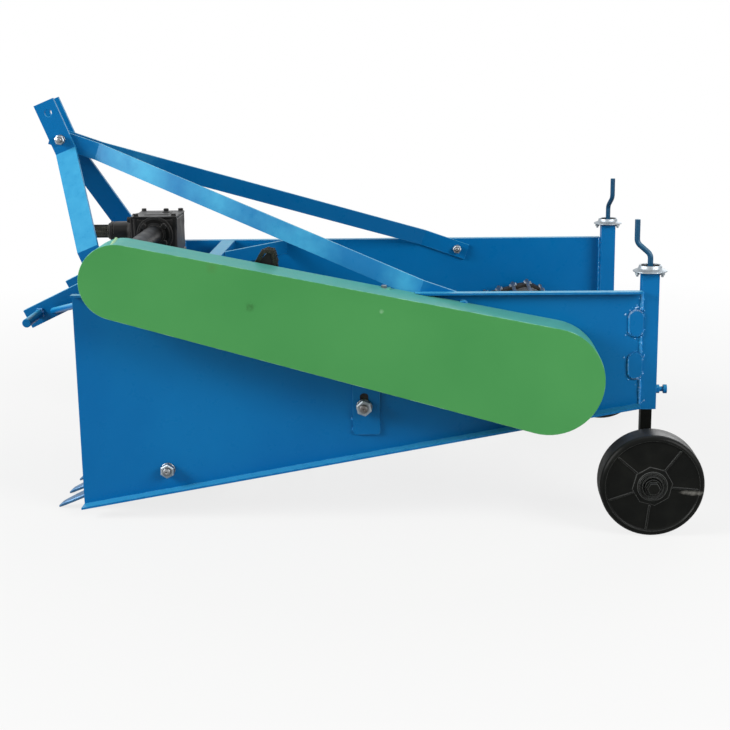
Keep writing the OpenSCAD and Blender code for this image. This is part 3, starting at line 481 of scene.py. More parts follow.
def copyPiece(pattern, place):
    copy = bpy.data.objects.new(pattern.name, pattern.data.copy())
    bpy.context.scene.collection.objects.link(copy)
    copy.matrix_world = place
    return copy


def joinPieces(pieces):
    bpy.ops.object.select_all(action="DESELECT")
    for piece in pieces:
        piece.select_set(True)
    bpy.context.view_layer.objects.active = pieces[0]
    if len(pieces) > 1:
        bpy.ops.object.join()
    return bpy.context.view_layer.objects.active


# parks the piece with the machine, gives it its finish and ties it to its body
def finishPiece(piece, name, look, body="frame", stands=(), smooth=35, parked=True):
    applyPlace(piece)
    if parked:
        piece.matrix_world = parkMatrix
        applyPlace(piece)
    bpy.ops.object.shade_smooth_by_angle(angle=math.radians(smooth))
    applyModifier(piece, "WEIGHTED_NORMAL", {"mode": "FACE_AREA", "weight": 100, "keep_sharp": True})
    piece.name = name
    piece.data.materials.clear()
    piece.data.materials.append(materials[look])
    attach(piece, body)
    if stands:
        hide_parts(*stands)


def mirrored(piece):
    copy = copyPiece(piece, Matrix.Diagonal((1, -1, 1, 1)))
    applyPlace(copy)
    closeMesh(copy)
    return copy


# steel parts whose CAD shape is right get their edges rounded on a copy: finish, radius in mm, nodes
roundedEdges = [
    ("blueEnamel", 1.4, ["side_plate_left", "side_plate_right"]), ("blueEnamel", 5, ["front_beam"]),
    ("blueEnamel", 4, ["cross_bar"]), ("blueEnamel", 1.5, ["rails", "diagonals"]),
    ("blueEnamel", 1.8, ["arm_left", "arm_right"]), ("blueEnamel", 1.5, ["mast_left", "mast_right"]),
    ("blueEnamel", 1.3, ["brace_left", "brace_right"]), ("blackCasting", 2, ["gearbox_base"]),
    ("greenEnamel", 2.2, ["chain_guard"]), ("blueEnamel", 3.5, ["share_beam"]),
    ("blueEnamel", 1.2, ["joint_plates"]), ("blueEnamel", 3.5, ["post_left", "post_right"]),
    ("blueEnamel", 0.9, ["lock_bolts"]), ("blackPaint", 1.6, ["leg_left", "leg_right"]),
    ("blackCasting", 2, ["drive_bearings"]), ("bareSteel", 1.2, ["drive_shaft"]),
    ("thinEnamel", 0.8, ["crank_left", "crank_right"]), ("blueEnamel", 0.8, ["stays"])]
bentBars = ("mast_left", "mast_right", "brace_left", "brace_right")
for look, radius, nodeNames in roundedEdges:
    for nodeName in nodeNames:
        piece = copyPiece(frame["nodes"][nodeName], Matrix())
        editAll(piece)
        bpy.ops.mesh.remove_doubles(threshold=mergeGap)
        bpy.ops.mesh.dissolve_limited(angle_limit=math.radians(0.5))
        leaveEdit()
        bpy.ops.mesh.customdata_custom_splitnormals_clear()
        softenEdges(piece, radius, segments=2, angle=40)
        finishPiece(piece, nodeName + "_rounded", look, nodeName if nodeName in frame["bodies"] else "frame",
                    [nodeName], 20 if nodeName in bentBars else 35, parked=False)
print("edges rounded")

# hexagon bolt heads and nuts on a washer, and the thread that stands out of a nut: drawn for M10 and scaled
hexSize = {"flats": 17, "height": 7, "chamfer": 1.4, "dome": 0.8, "washer": 9.7, "washerWall": 2,
           "washerBore": 4, "washerEdge": 0.4}
thread = {"radius": 5, "out": 5, "groove": 0.7, "rings": 6, "taper": 3.6, "dimple": 1.4, "tip": 0.9,
          "sink": 0.6}
hexTop = hexSize["washerWall"] + hexSize["height"]
head = addPrimitive(bpy.ops.mesh.primitive_cylinder_add, vertices=6, depth=hexSize["height"] * mm,
                    radius=hexSize["flats"] / math.sqrt(3) * mm,
                    location=(0, 0, (hexTop - hexSize["height"] / 2) * mm))
applyPlace(head)
editAll(head)
pickFaces(head, lambda middle, normal: normal.z > 0.9)
bpy.ops.mesh.inset(thickness=hexSize["chamfer"] * mm)
bpy.ops.transform.translate(value=(0, 0, hexSize["dome"] * mm))
leaveEdit()
rim, wall, bore, edge = (hexSize[key] for key in ("washer", "washerWall", "washerBore", "washerEdge"))
washer = turnedPiece([(bore, 0), (rim, 0), (rim, wall - edge), (rim - edge, wall), (bore, wall)], steps=20)
hexHead = joinPieces([head, washer])
crests = [(thread["radius"] - thread["groove"] * (i % 2), hexTop + i * thread["out"] / thread["rings"])
          for i in range(thread["rings"] + 1)]
threadTop = hexTop + thread["out"]
threadEnd = turnedPiece([(0, 0), (thread["radius"], 0)] + crests + [
    (thread["taper"], threadTop + thread["tip"]), (thread["dimple"], threadTop + thread["tip"]),
    (0, threadTop - thread["sink"])], steps=14)
patterns = [hexHead, threadEnd]


# seats are (place, axis, thread size in mm); ends is the finish of threads that stand out
def boltSet(name, seats, look, ends=None):
    turns = [random.uniform(0, 60) for seat in seats]
    copies = [copyPiece(hexHead, aimed(place, axis, size / 10, turn))
              for (place, axis, size), turn in zip(seats, turns)]
    finishPiece(joinPieces(copies), name, look, smooth=25)
    if ends:
        copies = [copyPiece(threadEnd, aimed(place, axis, size / 10)) for place, axis, size in seats]
        finishPiece(joinPieces(copies), name + "_ends", ends)


# mast bolt with its spacer tube, then the bolts at the braces' rear ends
mastBolt = {"x": -108.9, "z": 899.5, "face": 33, "radius": 8, "tube": 12.8, "tubeEnd": 15, "size": 13.5}
face, sleeve = mastBolt["face"], mastBolt["tubeEnd"]
end = [(0, face), (mastBolt["radius"], face), (mastBolt["radius"], sleeve),
       (mastBolt["tube"] - 1, sleeve), (mastBolt["tube"], sleeve - 1)]
shank = turnedPiece([(r, -h) for r, h in end] + end[::-1], steps=24)
shank.matrix_world = aimed((mastBolt["x"], 0, mastBolt["z"]), (0, 1, 0))
finishPiece(shank, "mast_bolt_shank", "zincPlate", "frame", ["mast_bolt"])
boltSet("mast_nuts", [((mastBolt["x"], s * mastBolt["face"], mastBolt["z"]), (0, s, 0), mastBolt["size"])
                      for s in (-1, 1)], "zincPlate", "bareSteel")
brace = {"x": 932, "z": 534, "size": 12.5, "wall": 8}
for (side, s), look in zip(sides, ("blueEnamel", "zincPlate")):
    boltSet("brace_bolt_" + side, [((brace["x"], s * outer, brace["z"]), (0, s, 0), brace["size"])], look)
boltSet("brace_nuts", [((brace["x"], s * (inner - brace["wall"]), brace["z"]), (0, -s, 0), brace["size"])
                       for s in (-1, 1)], "zincPlate", "bareSteel")

# drive bearings: four bolts through each plate, the nuts show on the inner flange
bearing = {"circle": 40, "angles": (45, 135, 225, 315), "size": 11, "flange": 14}
ring = onCircle((machine["driveX"], machine["driveZ"]), bearing["circle"], bearing["angles"])
boltSet("bearing_nuts", [((x, s * (inner - bearing["flange"]), z), (0, -s, 0), bearing["size"])
                         for s in (-1, 1) for x, z in ring], "zincPlate", "bareSteel")
boltSet("bearing_bolts_right", [((x, outer, z), (0, 1, 0), bearing["size"]) for x, z in ring], "zincPlate")
print("frame bolts set")

# rear wheels: spun drum with round shoulders and hub rings, a flat eight-sided boss and five ribs on its face
wheel = {"face": 555.8, "boss": 47, "bossInner": 0.55, "bossHeight": 1.6, "bossTurn": 8, "bossEdge": 1.5,
         "ribEnd": 106, "ribAngles": (-5, 53, 139, 199, 263), "ribWidth": 4, "ribHeight": 3, "ribEdge": 1.3,
         "sunk": 1, "steps": 72}
drum = turnedPiece([
    (10.4, 476.6), (26, 476.4), (28, 478.4), (28, 546), (31, 548.8), (103, 548.8), (111, 546), (113, 540),
    (113, 497), (111.4, 490), (110.8, 486.4), (112.4, 483.6), (115, 482.8), (118.6, 484.5), (121, 488.5),
    (122, 494.8), (122, 547.8), (121.3, 552.2), (119, 556.2), (115.6, 558.9), (112, 559.7), (109.6, 559.3),
    (108.2, 557.6), (106.8, 556.2), (104, 555.8), (60, 555.8), (37, 555.8), (35, 556.6), (33.8, 560),
    (32, 561.2), (29.8, 560.6), (28.8, 558.6), (27.2, 558.2), (26.2, 559.8), (25.2, 562.4), (23.4, 563.2),
    (21.8, 562.2), (21.2, 559.2), (20, 558.6), (10.4, 558.6), (10.4, 476.6)], wheel["steps"])
floorZ = wheel["face"] - wheel["sunk"]
ribs = []
for angle in wheel["ribAngles"]:
    rib = bevelledBlock((wheel["boss"], -wheel["ribWidth"] / 2, floorZ),
                        (wheel["ribEnd"], wheel["ribWidth"] / 2, wheel["face"] + wheel["ribHeight"]),
                        wheel["ribEdge"], segments=3)
    rib.matrix_world = Matrix.Rotation(math.radians(angle), 4, "Z")
    applyPlace(rib)
    ribs.append(rib)
boss = addPrimitive(bpy.ops.mesh.primitive_circle_add, vertices=8, radius=wheel["boss"] * mm,
                    location=(0, 0, floorZ * mm), rotation=(0, 0, math.radians(wheel["bossTurn"])))
applyPlace(boss)
editAll(boss)
extrudeBy(0, 0, 0)
scaleAbout((0, 0, floorZ), (wheel["bossInner"], wheel["bossInner"], 1))
bpy.ops.mesh.select_all(action="SELECT")
extrudeBy(0, 0, wheel["sunk"] + wheel["bossHeight"])
pickEdges(boss, lambda a, b: min(a.z, b.z) > wheel["face"] * mm
          and min(a.xy.length, b.xy.length) > 0.8 * wheel["boss"] * mm)
bpy.ops.mesh.bevel(offset=wheel["bossEdge"] * mm, segments=4, affect="EDGES")
leaveEdit()
wheelLeft = joinPieces([drum, boss] + ribs)
wheelLeft.matrix_world = (Matrix.Translation((machine["axleX"] * mm, 0, machine["wheelRadius"] * mm))
                          @ Matrix.Rotation(math.pi / 2, 4, "X"))
applyPlace(wheelLeft)
wheelRight = mirrored(wheelLeft)
finishPiece(wheelLeft, "wheel_left_pressed", "blackPaint", "wheel_left", ["wheel_left"], smooth=40)
finishPiece(wheelRight, "wheel_right_pressed", "blackPaint", "wheel_right", ["wheel_right"], smooth=40)
print("wheels pressed")

# pressed bearing flanges on the posts: thin rolled rim, raised open ring with a seal, three bolts, nuts below
flange = {"circle": 33.5, "angles": (200, 320, 440), "size": 6, "shank": 9, "shankRadius": 3, "nutLift": 0.4}
for side, s in sides:
    top = Vector((machine["postX"], s * machine["postY"], machine["postTop"]))
    dish = turnedPiece([
        (7.4, 0.6), (37.5, 0.2), (40, 0.8), (40.5, 2), (40, 3), (36, 4.6), (31, 6.6), (28.6, 8.2),
        (27.4, 10.6), (26.7, 14.2), (25.8, 15.6), (24.4, 16), (23, 15.4), (22.2, 13.6), (21.8, 9),
        (19, 7.4), (7.4, 7), (7.4, 0.6)], steps=64)
    dish.location = top * mm
    finishPiece(dish, "flange_" + side + "_pressed", "zincPlate", "frame", ["flange_" + side], smooth=50)
    seal = turnedPiece([(7.6, 6.8), (21.9, 6.8), (22.4, 14.4), (21.2, 14.6), (20.4, 9.6), (12, 8.8),
                        (7.6, 8.8), (7.6, 6.8)], steps=40)
    seal.location = top * mm
    finishPiece(seal, "flange_seal_" + side, "beltRubber")
    spots = onCircle((top.x, top.y), flange["circle"], flange["angles"])
    boltSet("flange_nuts_" + side, [((x, y, top.z + flange["nutLift"]), (0, 0, -1), flange["size"])
                                    for x, y in spots], "zincPlate", "bareSteel")
    shanks = []
    for x, y in spots:
        radius, low = flange["shankRadius"], -flange["shank"]
        shank = turnedPiece([(0, 3), (radius, 3), (radius, low), (radius - 0.8, low - 1), (0, low - 1)],
                            steps=10)
        shank.location = (x * mm, y * mm, top.z * mm)
        shanks.append(shank)
    finishPiece(joinPieces(shanks), "flange_shanks_" + side, "zincPlate")
print("post flanges pressed")

# gearbox housing: cast block with bearing rings, corner bosses and ribs
gear = {"x": (76.5, 191.5), "y": 64, "ring": 48, "ringDrop": 2, "corner": 9, "cornerInset": 8,
        "cornerFoot": 30, "cornerTaper": 24, "ribs": (-34, 34), "ribHalf": 3, "ribProud": 4, "ribTop": 30,
        "lid": 6, "lidBolt": 7, "pad": (32, 34), "padHeight": 1.6, "plug": (18, 14), "baseX": (92, 176),
        "baseY": (-69.5, 69.5), "baseBolt": 9}
gearX, gearZ, gearBottom, gearTop = (machine[key] for key in ("gearX", "gearZ", "gearBottom", "gearTop"))
(gearFront, gearRear), gearY, ringR = gear["x"], gear["y"], gear["ring"]
housing = [bevelledBlock((gearFront, -gearY, gearBottom), (gearRear, gearY, gearTop), edge=6, segments=3)]
for s in (-1, 1):
    boss = turnedPiece([(0, -6), (ringR, -6), (ringR, 3), (ringR - 2, 5), (ringR - 7, 5), (ringR - 8, 3.5),
                        (0, 3.5)], steps=40)
    boss.matrix_world = aimed((gearX, s * gearY, gearZ - gear["ringDrop"]), (0, s, 0))
    housing.append(boss)
corners = [(x, y) for x in (gearFront + gear["cornerInset"], gearRear - gear["cornerInset"])
           for y in (gear["cornerInset"] - gearY, gearY - gear["cornerInset"])]
for x, y in corners:
    foot, radius = gearBottom + gear["cornerFoot"], gear["corner"]
    boss = turnedPiece([(0, foot), (5, foot), (radius, gearTop - gear["cornerTaper"]), (radius, gearTop),
                        (0, gearTop)], steps=18)
    boss.location = (x * mm, y * mm, 0)
    housing.append(boss)
for x in gear["ribs"]:
    for s in (-1, 1):
        housing.append(bevelledBlock(
            (gearX + x - gear["ribHalf"], s * gearY - gear["ribProud"], gearBottom),
            (gearX + x + gear["ribHalf"], s * gearY + gear["ribProud"], gearZ - gear["ribTop"]), edge=1.5))
finishPiece(joinPieces(housing), "gearbox_housing_cast", "blackCasting", "frame", ["gearbox_housing"])

# bolted lid with a raised pad and a filler plug
lidTop = gearTop + gear["lid"]
lid = [bevelledBlock((gearFront - 1, -gearY - 1, gearTop), (gearRear + 1, gearY + 1, lidTop),
                     edge=2.2, segments=3),
       bevelledBlock((gearX - gear["pad"][0], -gear["pad"][1], lidTop - 2),
                     (gearX + gear["pad"][0], gear["pad"][1], lidTop + gear["padHeight"]), edge=1.6)]
plug = turnedPiece([(0, 0), (11, 0), (11, 3), (7, 4), (7, 10), (5.5, 11.5), (0, 11.5)], steps=16)
plug.location = ((gearX + gear["plug"][0]) * mm, gear["plug"][1] * mm, lidTop * mm)
finishPiece(joinPieces(lid + [plug]), "gearbox_lid", "blackCasting", "frame", ["gearbox_cover"])
boltSet("lid_bolts", [((x, y, lidTop), (0, 0, 1), gear["lidBolt"]) for x, y in corners], "blackCasting")
boltSet("base_bolts", [((x, y, gearBottom), (0, 0, 1), gear["baseBolt"])
                       for x in gear["baseX"] for y in gear["baseY"]], "blackCasting")

# bearing cap with the output tube on the left, blank cap on the right
cap = {"radius": 42, "wall": 10, "bolts": (40, 140, 220, 320), "circle": 34, "size": 8, "tube": 25, "end": 29,
       "endLength": 13, "endGap": 1, "blankSeat": 3, "blankFace": 8}
capR, capWall, tubeEnd = cap["radius"], cap["wall"], outer - gearY - cap["endGap"]
tube = turnedPiece([
    (0, 0), (capR, 0), (capR, capWall - 3), (capR - 2.5, capWall - 0.5), (30, capWall), (28.5, capWall + 5),
    (26.5, capWall + 7), (cap["tube"], capWall + 7), (cap["tube"], tubeEnd - cap["endLength"]),
    (cap["end"], tubeEnd - cap["endLength"]), (cap["end"], tubeEnd), (0, tubeEnd)], steps=48)
tube.matrix_world = aimed((gearX, -gearY, gearZ), (0, -1, 0))
finishPiece(tube, "output_tube_turned", "tubePaint", "frame", ["output_tube"])
capRing = onCircle((gearX, gearZ), cap["circle"], cap["bolts"])
boltSet("cap_bolts", [((x, -gearY - capWall + 1, z), (0, -1, 0), cap["size"]) for x, z in capRing],
        "blackCasting")
blank = turnedPiece([(0, 0), (capR, 0), (capR, 4), (capR - 2, 6), (22, 6), (19, 9), (0, 9.5)], steps=40)
blank.matrix_world = aimed((gearX, gearY + cap["blankSeat"], gearZ), (0, 1, 0))
finishPiece(blank, "gearbox_blank_cap", "blackCasting")
boltSet("blank_cap_bolts", [((x, gearY + cap["blankFace"], z), (0, 1, 0), cap["size"]) for x, z in capRing],
        "blackCasting")

# input housing: square flange, then a neck with a groove near its front end
inputs = {"flange": 43, "flangeWall": 12, "neck": 26, "bore": 22, "front": 4.5, "bolts": (-34, 34), "size": 8}
half, flangeWall, neckR, boreR = inputs["flange"], inputs["flangeWall"], inputs["neck"], inputs["bore"]
inputFlange = bevelledBlock((gearFront - flangeWall, -half, gearZ - half),
                            (gearFront, half, gearZ + half), edge=4, segments=3)
length = gearFront - inputs["front"]
neck = turnedPiece([
    (boreR, 0), (36, 0), (36, flangeWall + 3), (30, flangeWall + 9), (neckR, flangeWall + 12),
    (neckR, length - 12), (neckR - 1.5, length - 11), (neckR - 1.5, length - 8), (neckR, length - 7),
    (neckR, length - 1.5), (neckR - 1.5, length), (boreR, length), (boreR, 0)], steps=40)
neck.matrix_world = aimed((gearFront, 0, gearZ), (-1, 0, 0))
finishPiece(joinPieces([inputFlange, neck]), "input_housing_cast", "blackCasting", "frame", ["input_housing"])
boltSet("input_bolts", [((gearFront - flangeWall, y, gearZ + z), (-1, 0, 0), inputs["size"])
                        for y in inputs["bolts"] for z in inputs["bolts"]], "blackCasting")

# power take-off shaft: six splines, a locking groove and a chamfered end; steps are (length, change of width)
spline = {"radius": 17.5, "root": 0.84, "pitch": 60, "tooth": 29,
          "steps": ((8, 1), (38, 1), (1.5, 0.88), (6, 1), (1.5, 1 / 0.88), (16, 1), (2, 0.88))}
shaft = addPrimitive(bpy.ops.mesh.primitive_circle_add, vertices=48, radius=spline["radius"] * mm,
                     fill_type="NGON")
editAll(shaft)
pickPoints(shaft, lambda p: math.degrees(math.atan2(p.y, p.x)) % spline["pitch"] > spline["tooth"])
scaleAbout((0, 0, 0), (spline["root"], spline["root"], 1))
bpy.ops.mesh.select_all(action="SELECT")
height = 0
for step, scale in spline["steps"]:
    extrudeBy(0, 0, step)
    height += step
    if scale != 1:
        scaleAbout((0, 0, height), (scale, scale, 1))
leaveEdit()
closeMesh(shaft)
collar = turnedPiece([(0, -30), (21.5, -30), (21.5, 4), (20, 5.5), (0, 5.5)], steps=32)
splined = joinPieces([shaft, collar])
splined.matrix_world = aimed((inputs["front"], 0, gearZ), (-1, 0, 0))
finishPiece(splined, "pto_shaft_splined", "oiledSteel", "frame", ["pto_shaft"])
print("gearbox assembled")

# rod web: two rubber belts over the rollers, steel rods with riveted end clips
web = {"frontRadius": 45.3, "rearRadius": 62.3, "belt": 8, "beltWidth": 36, "beltOuter": 385,
       "beltSteps": 120, "beltEdge": 1.2, "rodDiameter": 11, "rodEnd": 409, "rodEdge": 1.2,
       "rodCrown": 1.002, "pitch": 42}
webFront = Vector((machine["rollerX"], machine["rollerZ"]))
webRear = Vector((machine["driveX"], machine["driveZ"]))
beltMiddle = web["beltOuter"] - web["beltWidth"] / 2
span = webRear - webFront
webWrap = math.acos((web["frontRadius"] - web["rearRadius"]) / span.length)
webTop = math.atan2(span.y, span.x) + webWrap
webUnder = math.atan2(span.y, span.x) - webWrap
runLength = math.sqrt(span.length ** 2 - (web["rearRadius"] - web["frontRadius"]) ** 2)
rearArc = 2 * webWrap * (web["rearRadius"] + web["belt"])
frontArc = 2 * (math.pi - webWrap) * (web["frontRadius"] + web["belt"])
loopLength = 2 * runLength + rearArc + frontArc


def towards(angle):
    return Vector((math.cos(angle), math.sin(angle)))


# a point on the loop at a distance along it and a height above the rollers, with the way it faces
def webPoint(distance, height):
    frontR, rearR = web["frontRadius"] + height, web["rearRadius"] + height
    if distance < runLength:
        return webFront + frontR * towards(webTop) + distance * towards(webTop - math.pi / 2), webTop
    distance -= runLength
    if distance < rearArc:
        turn = webTop - distance / rearArc * 2 * webWrap
        return webRear + rearR * towards(turn), turn
    distance -= rearArc
    if distance < runLength:
        return webRear + rearR * towards(webUnder) + distance * towards(webUnder - math.pi / 2), webUnder
    turn = webUnder - (distance - runLength) / frontArc * 2 * (math.pi - webWrap)
    return webFront + frontR * towards(turn), turn


belts = []
for s in (-1, 1):
    belt = addPrimitive(bpy.ops.mesh.primitive_plane_add, size=1)
    belt.scale = (2 * mm, web["beltWidth"] * mm, 1)
    applyPlace(belt)
    editAll(belt)
    pickPoints(belt, lambda p: p.x > 0)
    bpy.ops.mesh.delete(type="VERT")
    bpy.ops.mesh.select_all(action="SELECT")
    bpy.ops.transform.translate(value=(0, s * beltMiddle * mm, 0))
    before = Vector((-1, 0))  # the edge that is left starts 1 mm ahead of the middle
    for i in range(web["beltSteps"] + 1):
        here = webPoint(loopLength * (i % web["beltSteps"]) / web["beltSteps"], web["belt"] / 2)[0]
        move = here - before
        if i == 0:
            bpy.ops.transform.translate(value=(move.x * mm, 0, move.y * mm))
        else:
            extrudeBy(move.x, 0, move.y)
        before = here
    leaveEdit()
    closeMesh(belt)
    applyModifier(belt, "SOLIDIFY", {"thickness": web["belt"] * mm, "offset": 0.0})
    softenEdges(belt, web["beltEdge"], segments=2, angle=50)
    belts.append(belt)
finishPiece(joinPieces(belts), "web_belts", "beltRubber")

rod = addPrimitive(bpy.ops.mesh.primitive_cylinder_add, vertices=12, radius=web["rodDiameter"] / 2 * mm,
                   depth=2 * web["rodEnd"] * mm, rotation=(math.pi / 2, 0, 0))
applyPlace(rod)
editAll(rod)
pickFaces(rod, lambda middle, normal: abs(normal.y) > 0.9)
bpy.ops.mesh.inset(thickness=web["rodEdge"] * mm)
pickFaces(rod, lambda middle, normal: abs(normal.y) > 0.9 and middle.xz.length < 0.5 * mm)
scaleAbout((0, 0, 0), (1, web["rodCrown"], 1))
leaveEdit()
clip = {"x": 11, "y": 15, "wall": 1.5, "ridge": 6.5, "rivetX": 8.2, "rivetY": 9, "lift": 1.4}
clipPieces = [
    bevelledBlock((-clip["x"], -clip["y"], -clip["wall"]), (clip["x"], clip["y"], clip["wall"]), edge=0.8),
    bevelledBlock((-clip["ridge"], -clip["y"] - 0.5, -2), (clip["ridge"], clip["y"] + 0.5, 2.6), edge=2)]
for x in (-clip["rivetX"], clip["rivetX"]):
    for y in (-clip["rivetY"], clip["rivetY"]):
        rivet = turnedPiece([(0, 0), (2.8, 0), (2.6, 1.4), (1.6, 2.2), (0, 2.5)], steps=10)
        rivet.location = (x * mm, y * mm, clip["wall"] * mm)
        clipPieces.append(rivet)
clipPattern = joinPieces(clipPieces)
applyPlace(clipPattern)
rodCount = int(loopLength / web["pitch"])
rods, clips = [], []
for i in range(rodCount):
    spot = webPoint(loopLength * i / rodCount, web["belt"])[0]
    rods.append(copyPiece(rod, Matrix.Translation((spot.x * mm, 0, spot.y * mm))
                          @ Matrix.Rotation(random.uniform(0, 0.5), 4, "Y")))
    top, turn = webPoint(loopLength * i / rodCount, web["belt"] + clip["lift"])
    for s in (-1, 1):
        clips.append(copyPiece(clipPattern, Matrix.Translation((top.x * mm, s * beltMiddle * mm, top.y * mm))
                               @ Matrix.Rotation(math.pi / 2 - turn, 4, "Y")))
finishPiece(joinPieces(rods), "web_rods", "bareSteel", "frame", ["conveyor_web"])
finishPiece(joinPieces(clips), "web_clips", "zincPlate")
patterns += [rod, clipPattern]
print("rod web laid:", rodCount, "rods")

# digging share: pointed strip with ground edges, plough bolts sunk above and nuts below
# each row of taper is (distance from the tip, width there)
share = {"tip": (-78, 12), "slope": 25, "thick": 8, "length": 238, "points": 8, "pointLength": 130,
         "pointWidth": 70, "half": 435, "grind": 2, "tipThick": 4, "edge": 0.7, "bolts": (150, 196),
         "nutSize": 8, "taper": [(85, 59), (42, 42), (14, 25), (0, 10)]}
pointPitch = 2 * share["half"] / share["points"]
roots = [(i + 0.5) * pointPitch - share["half"] for i in range(share["points"])]
shareMatrix = (Matrix.Translation((share["tip"][0] * mm, 0, share["tip"][1] * mm))
               @ Matrix.Rotation(-math.radians(share["slope"]), 4, "Y"))
blade = addPrimitive(bpy.ops.mesh.primitive_plane_add, size=1)
blade.scale = ((share["length"] - share["pointLength"]) * mm, 2 * share["half"] * mm, 1)
blade.location = ((share["length"] + share["pointLength"]) / 2 * mm, 0, 0)
applyPlace(blade)
editAll(blade)
for root in roots:
    for cut in (root - share["pointWidth"] / 2, root + share["pointWidth"] / 2):
        bpy.ops.mesh.select_all(action="SELECT")
        bpy.ops.mesh.bisect(plane_co=(0, cut * mm, 0), plane_no=(0, 1, 0))


# the front edges of the points whose roots are given, as far as they have been drawn out
def pickFronts(reach, wantedRoots):
    pickEdges(blade, lambda a, b: max(a.x, b.x) < (reach + 1) * mm
              and min(abs((a.y + b.y) / 2 / mm - root) for root in wantedRoots) < 2)


reached, wide = share["pointLength"], share["pointWidth"]
for reach, width in share["taper"]:
    pickFronts(reached, roots)
    extrudeBy(reach - reached, 0, 0)
    for root in roots:
        pickFronts(reach, [root])
        scaleAbout((0, root, 0), (1, width / wide, 1))
    reached, wide = reach, width
bpy.ops.mesh.select_all(action="SELECT")
extrudeBy(0, 0, share["thick"])
leaveEdit()
closeMesh(blade)
editAll(blade)
pickEdges(blade, lambda a, b: min(a.z, b.z) > (share["thick"] - 1) * mm and max(a.x, b.x) < mm)
bpy.ops.transform.translate(value=(0, 0, (share["tipThick"] - share["thick"]) * mm))
# the slanting upper edges of the points are ground
pickEdges(blade, lambda a, b: min(a.z, b.z) > mm and max(a.z, b.z) > 1.9 * mm
          and max(a.x, b.x) < (share["pointLength"] + 1) * mm and abs(a.x - b.x) > 10 * mm)
bpy.ops.mesh.bevel(offset=share["grind"] * mm, segments=1, affect="EDGES")
leaveEdit()
softenEdges(blade, share["edge"], segments=1, angle=50)
blade.matrix_world = shareMatrix
finishPiece(blade, "digging_share_ground", "washedSteel", "frame", ["digging_share"], smooth=20)
sunk = turnedPiece([(0, -3), (9, -3), (9, 0.2), (7.4, 0.9), (4, 0.6), (0, 0.5)], steps=16)
sunkCopies = [copyPiece(sunk, shareMatrix @ aimed((u, root, share["thick"]), (0, 0, 1)))
              for root in roots for u in share["bolts"]]
finishPiece(joinPieces(sunkCopies), "share_bolts", "washedSteel")
nutScale = share["nutSize"] / 10
shareNuts = [copyPiece(hexHead, shareMatrix @ aimed((share["bolts"][0], root, 0), (0, 0, -1), nutScale))
             for root in roots]
finishPiece(joinPieces(shareNuts), "share_nuts", "bareSteel")
patterns += [sunk]
print("share ground")

# adjuster plates of the support roller: slotted plate with round corners, a rubber strip closes the slot
adjuster = {"rollerGap": 24.3, "length": 66, "ahead": 28, "below": 69.44, "above": 56, "wall": 6,
            "corner": 9, "edge": 0.9, "slotWidth": 22, "slotFoot": 4, "slotTop": 34, "slotRound": 9,
            "strip": 26, "stripWall": 2.5}
webSlope = webTop - math.pi / 2
runStart = webPoint(0, 0)[0]
supportX = machine["supportX"]
supportZ = (runStart.y + (supportX - runStart.x) * math.tan(webSlope)
            - adjuster["rollerGap"] / math.cos(webSlope))
for side, s in sides:
    plate = bevelledBlock((supportX - adjuster["ahead"], 0, supportZ - adjuster["below"]),
                          (supportX + adjuster["length"] - adjuster["ahead"], adjuster["wall"],
                           supportZ + adjuster["above"]), **hairEdge)
    closeMesh(plate)
    editAll(plate)
    bpy.ops.mesh.dissolve_limited(angle_limit=hairAngle)
    pickEdges(plate, lambda a, b: abs(a.y - b.y) > adjuster["wall"] * 0.8 * mm)
    bpy.ops.mesh.bevel(offset=adjuster["corner"] * mm, segments=5, affect="EDGES")
    leaveEdit()
    slotCut = bevelledBlock((supportX - adjuster["slotWidth"] / 2, -5, supportZ - adjuster["slotFoot"]),
                            (supportX + adjuster["slotWidth"] / 2, 11, supportZ + adjuster["slotTop"]),
                            adjuster["slotRound"], segments=4)
    applyModifier(plate, "BOOLEAN", {"object": slotCut, "operation": "DIFFERENCE", "solver": "EXACT"})
    bpy.data.objects.remove(slotCut)
    softenEdges(plate, adjuster["edge"], segments=2, angle=50)
    plate.location.y = (s * outer - (adjuster["wall"] if s < 0 else 0)) * mm
    finishPiece(plate, "adjuster_" + side, "blueEnamel", "frame", ["adjusters"])
    strip = bevelledBlock((supportX - adjuster["strip"] / 2, 0, supportZ),
                          (supportX + adjuster["strip"] / 2, adjuster["stripWall"],
                           supportZ + adjuster["slotTop"] + adjuster["slotFoot"]), edge=0.8)
    strip.location.y = (s * outer - (adjuster["stripWall"] if s < 0 else 0)) * mm
    finishPiece(strip, "slot_strip_" + side, "beltRubber")

# front and support rollers: an axle, two belt wheels with chamfered rims and a nut at each end
rollers = {"front_roller": {"at": webFront, "radius": 45, "seat": outer, "nut": 18.5},
           "support_roller": {"at": (supportX, supportZ), "radius": 24, "seat": outer + adjuster["wall"],
                              "nut": 20}}
axle = {"radius": 12.5, "half": web["beltWidth"] / 2 + 4, "rim": 2.5, "out": 8}
for name, roller in rollers.items():
    x, z = roller["at"]
    radius, rim, end = roller["radius"], axle["rim"], roller["seat"] + axle["out"]
    profile = [(0, -end), (axle["radius"], -end)]
    for middle in (-beltMiddle, beltMiddle):
        low, high = middle - axle["half"], middle + axle["half"]
        profile += [(axle["radius"], low), (radius - rim, low), (radius, low + rim), (radius, high - rim),
                    (radius - rim, high), (axle["radius"], high)]
    roll = turnedPiece(profile + [(axle["radius"], end), (0, end)], steps=40)
    roll.matrix_world = aimed((x, 0, z), (0, 1, 0))
    finishPiece(roll, name + "_turned", "bareSteel", "frame", [name])
    boltSet(name + "_nuts", [((x, s * roller["seat"], z), (0, s, 0), roller["nut"]) for s in (-1, 1)],
            "zincPlate", "bareSteel")
print("adjusters and rollers set")

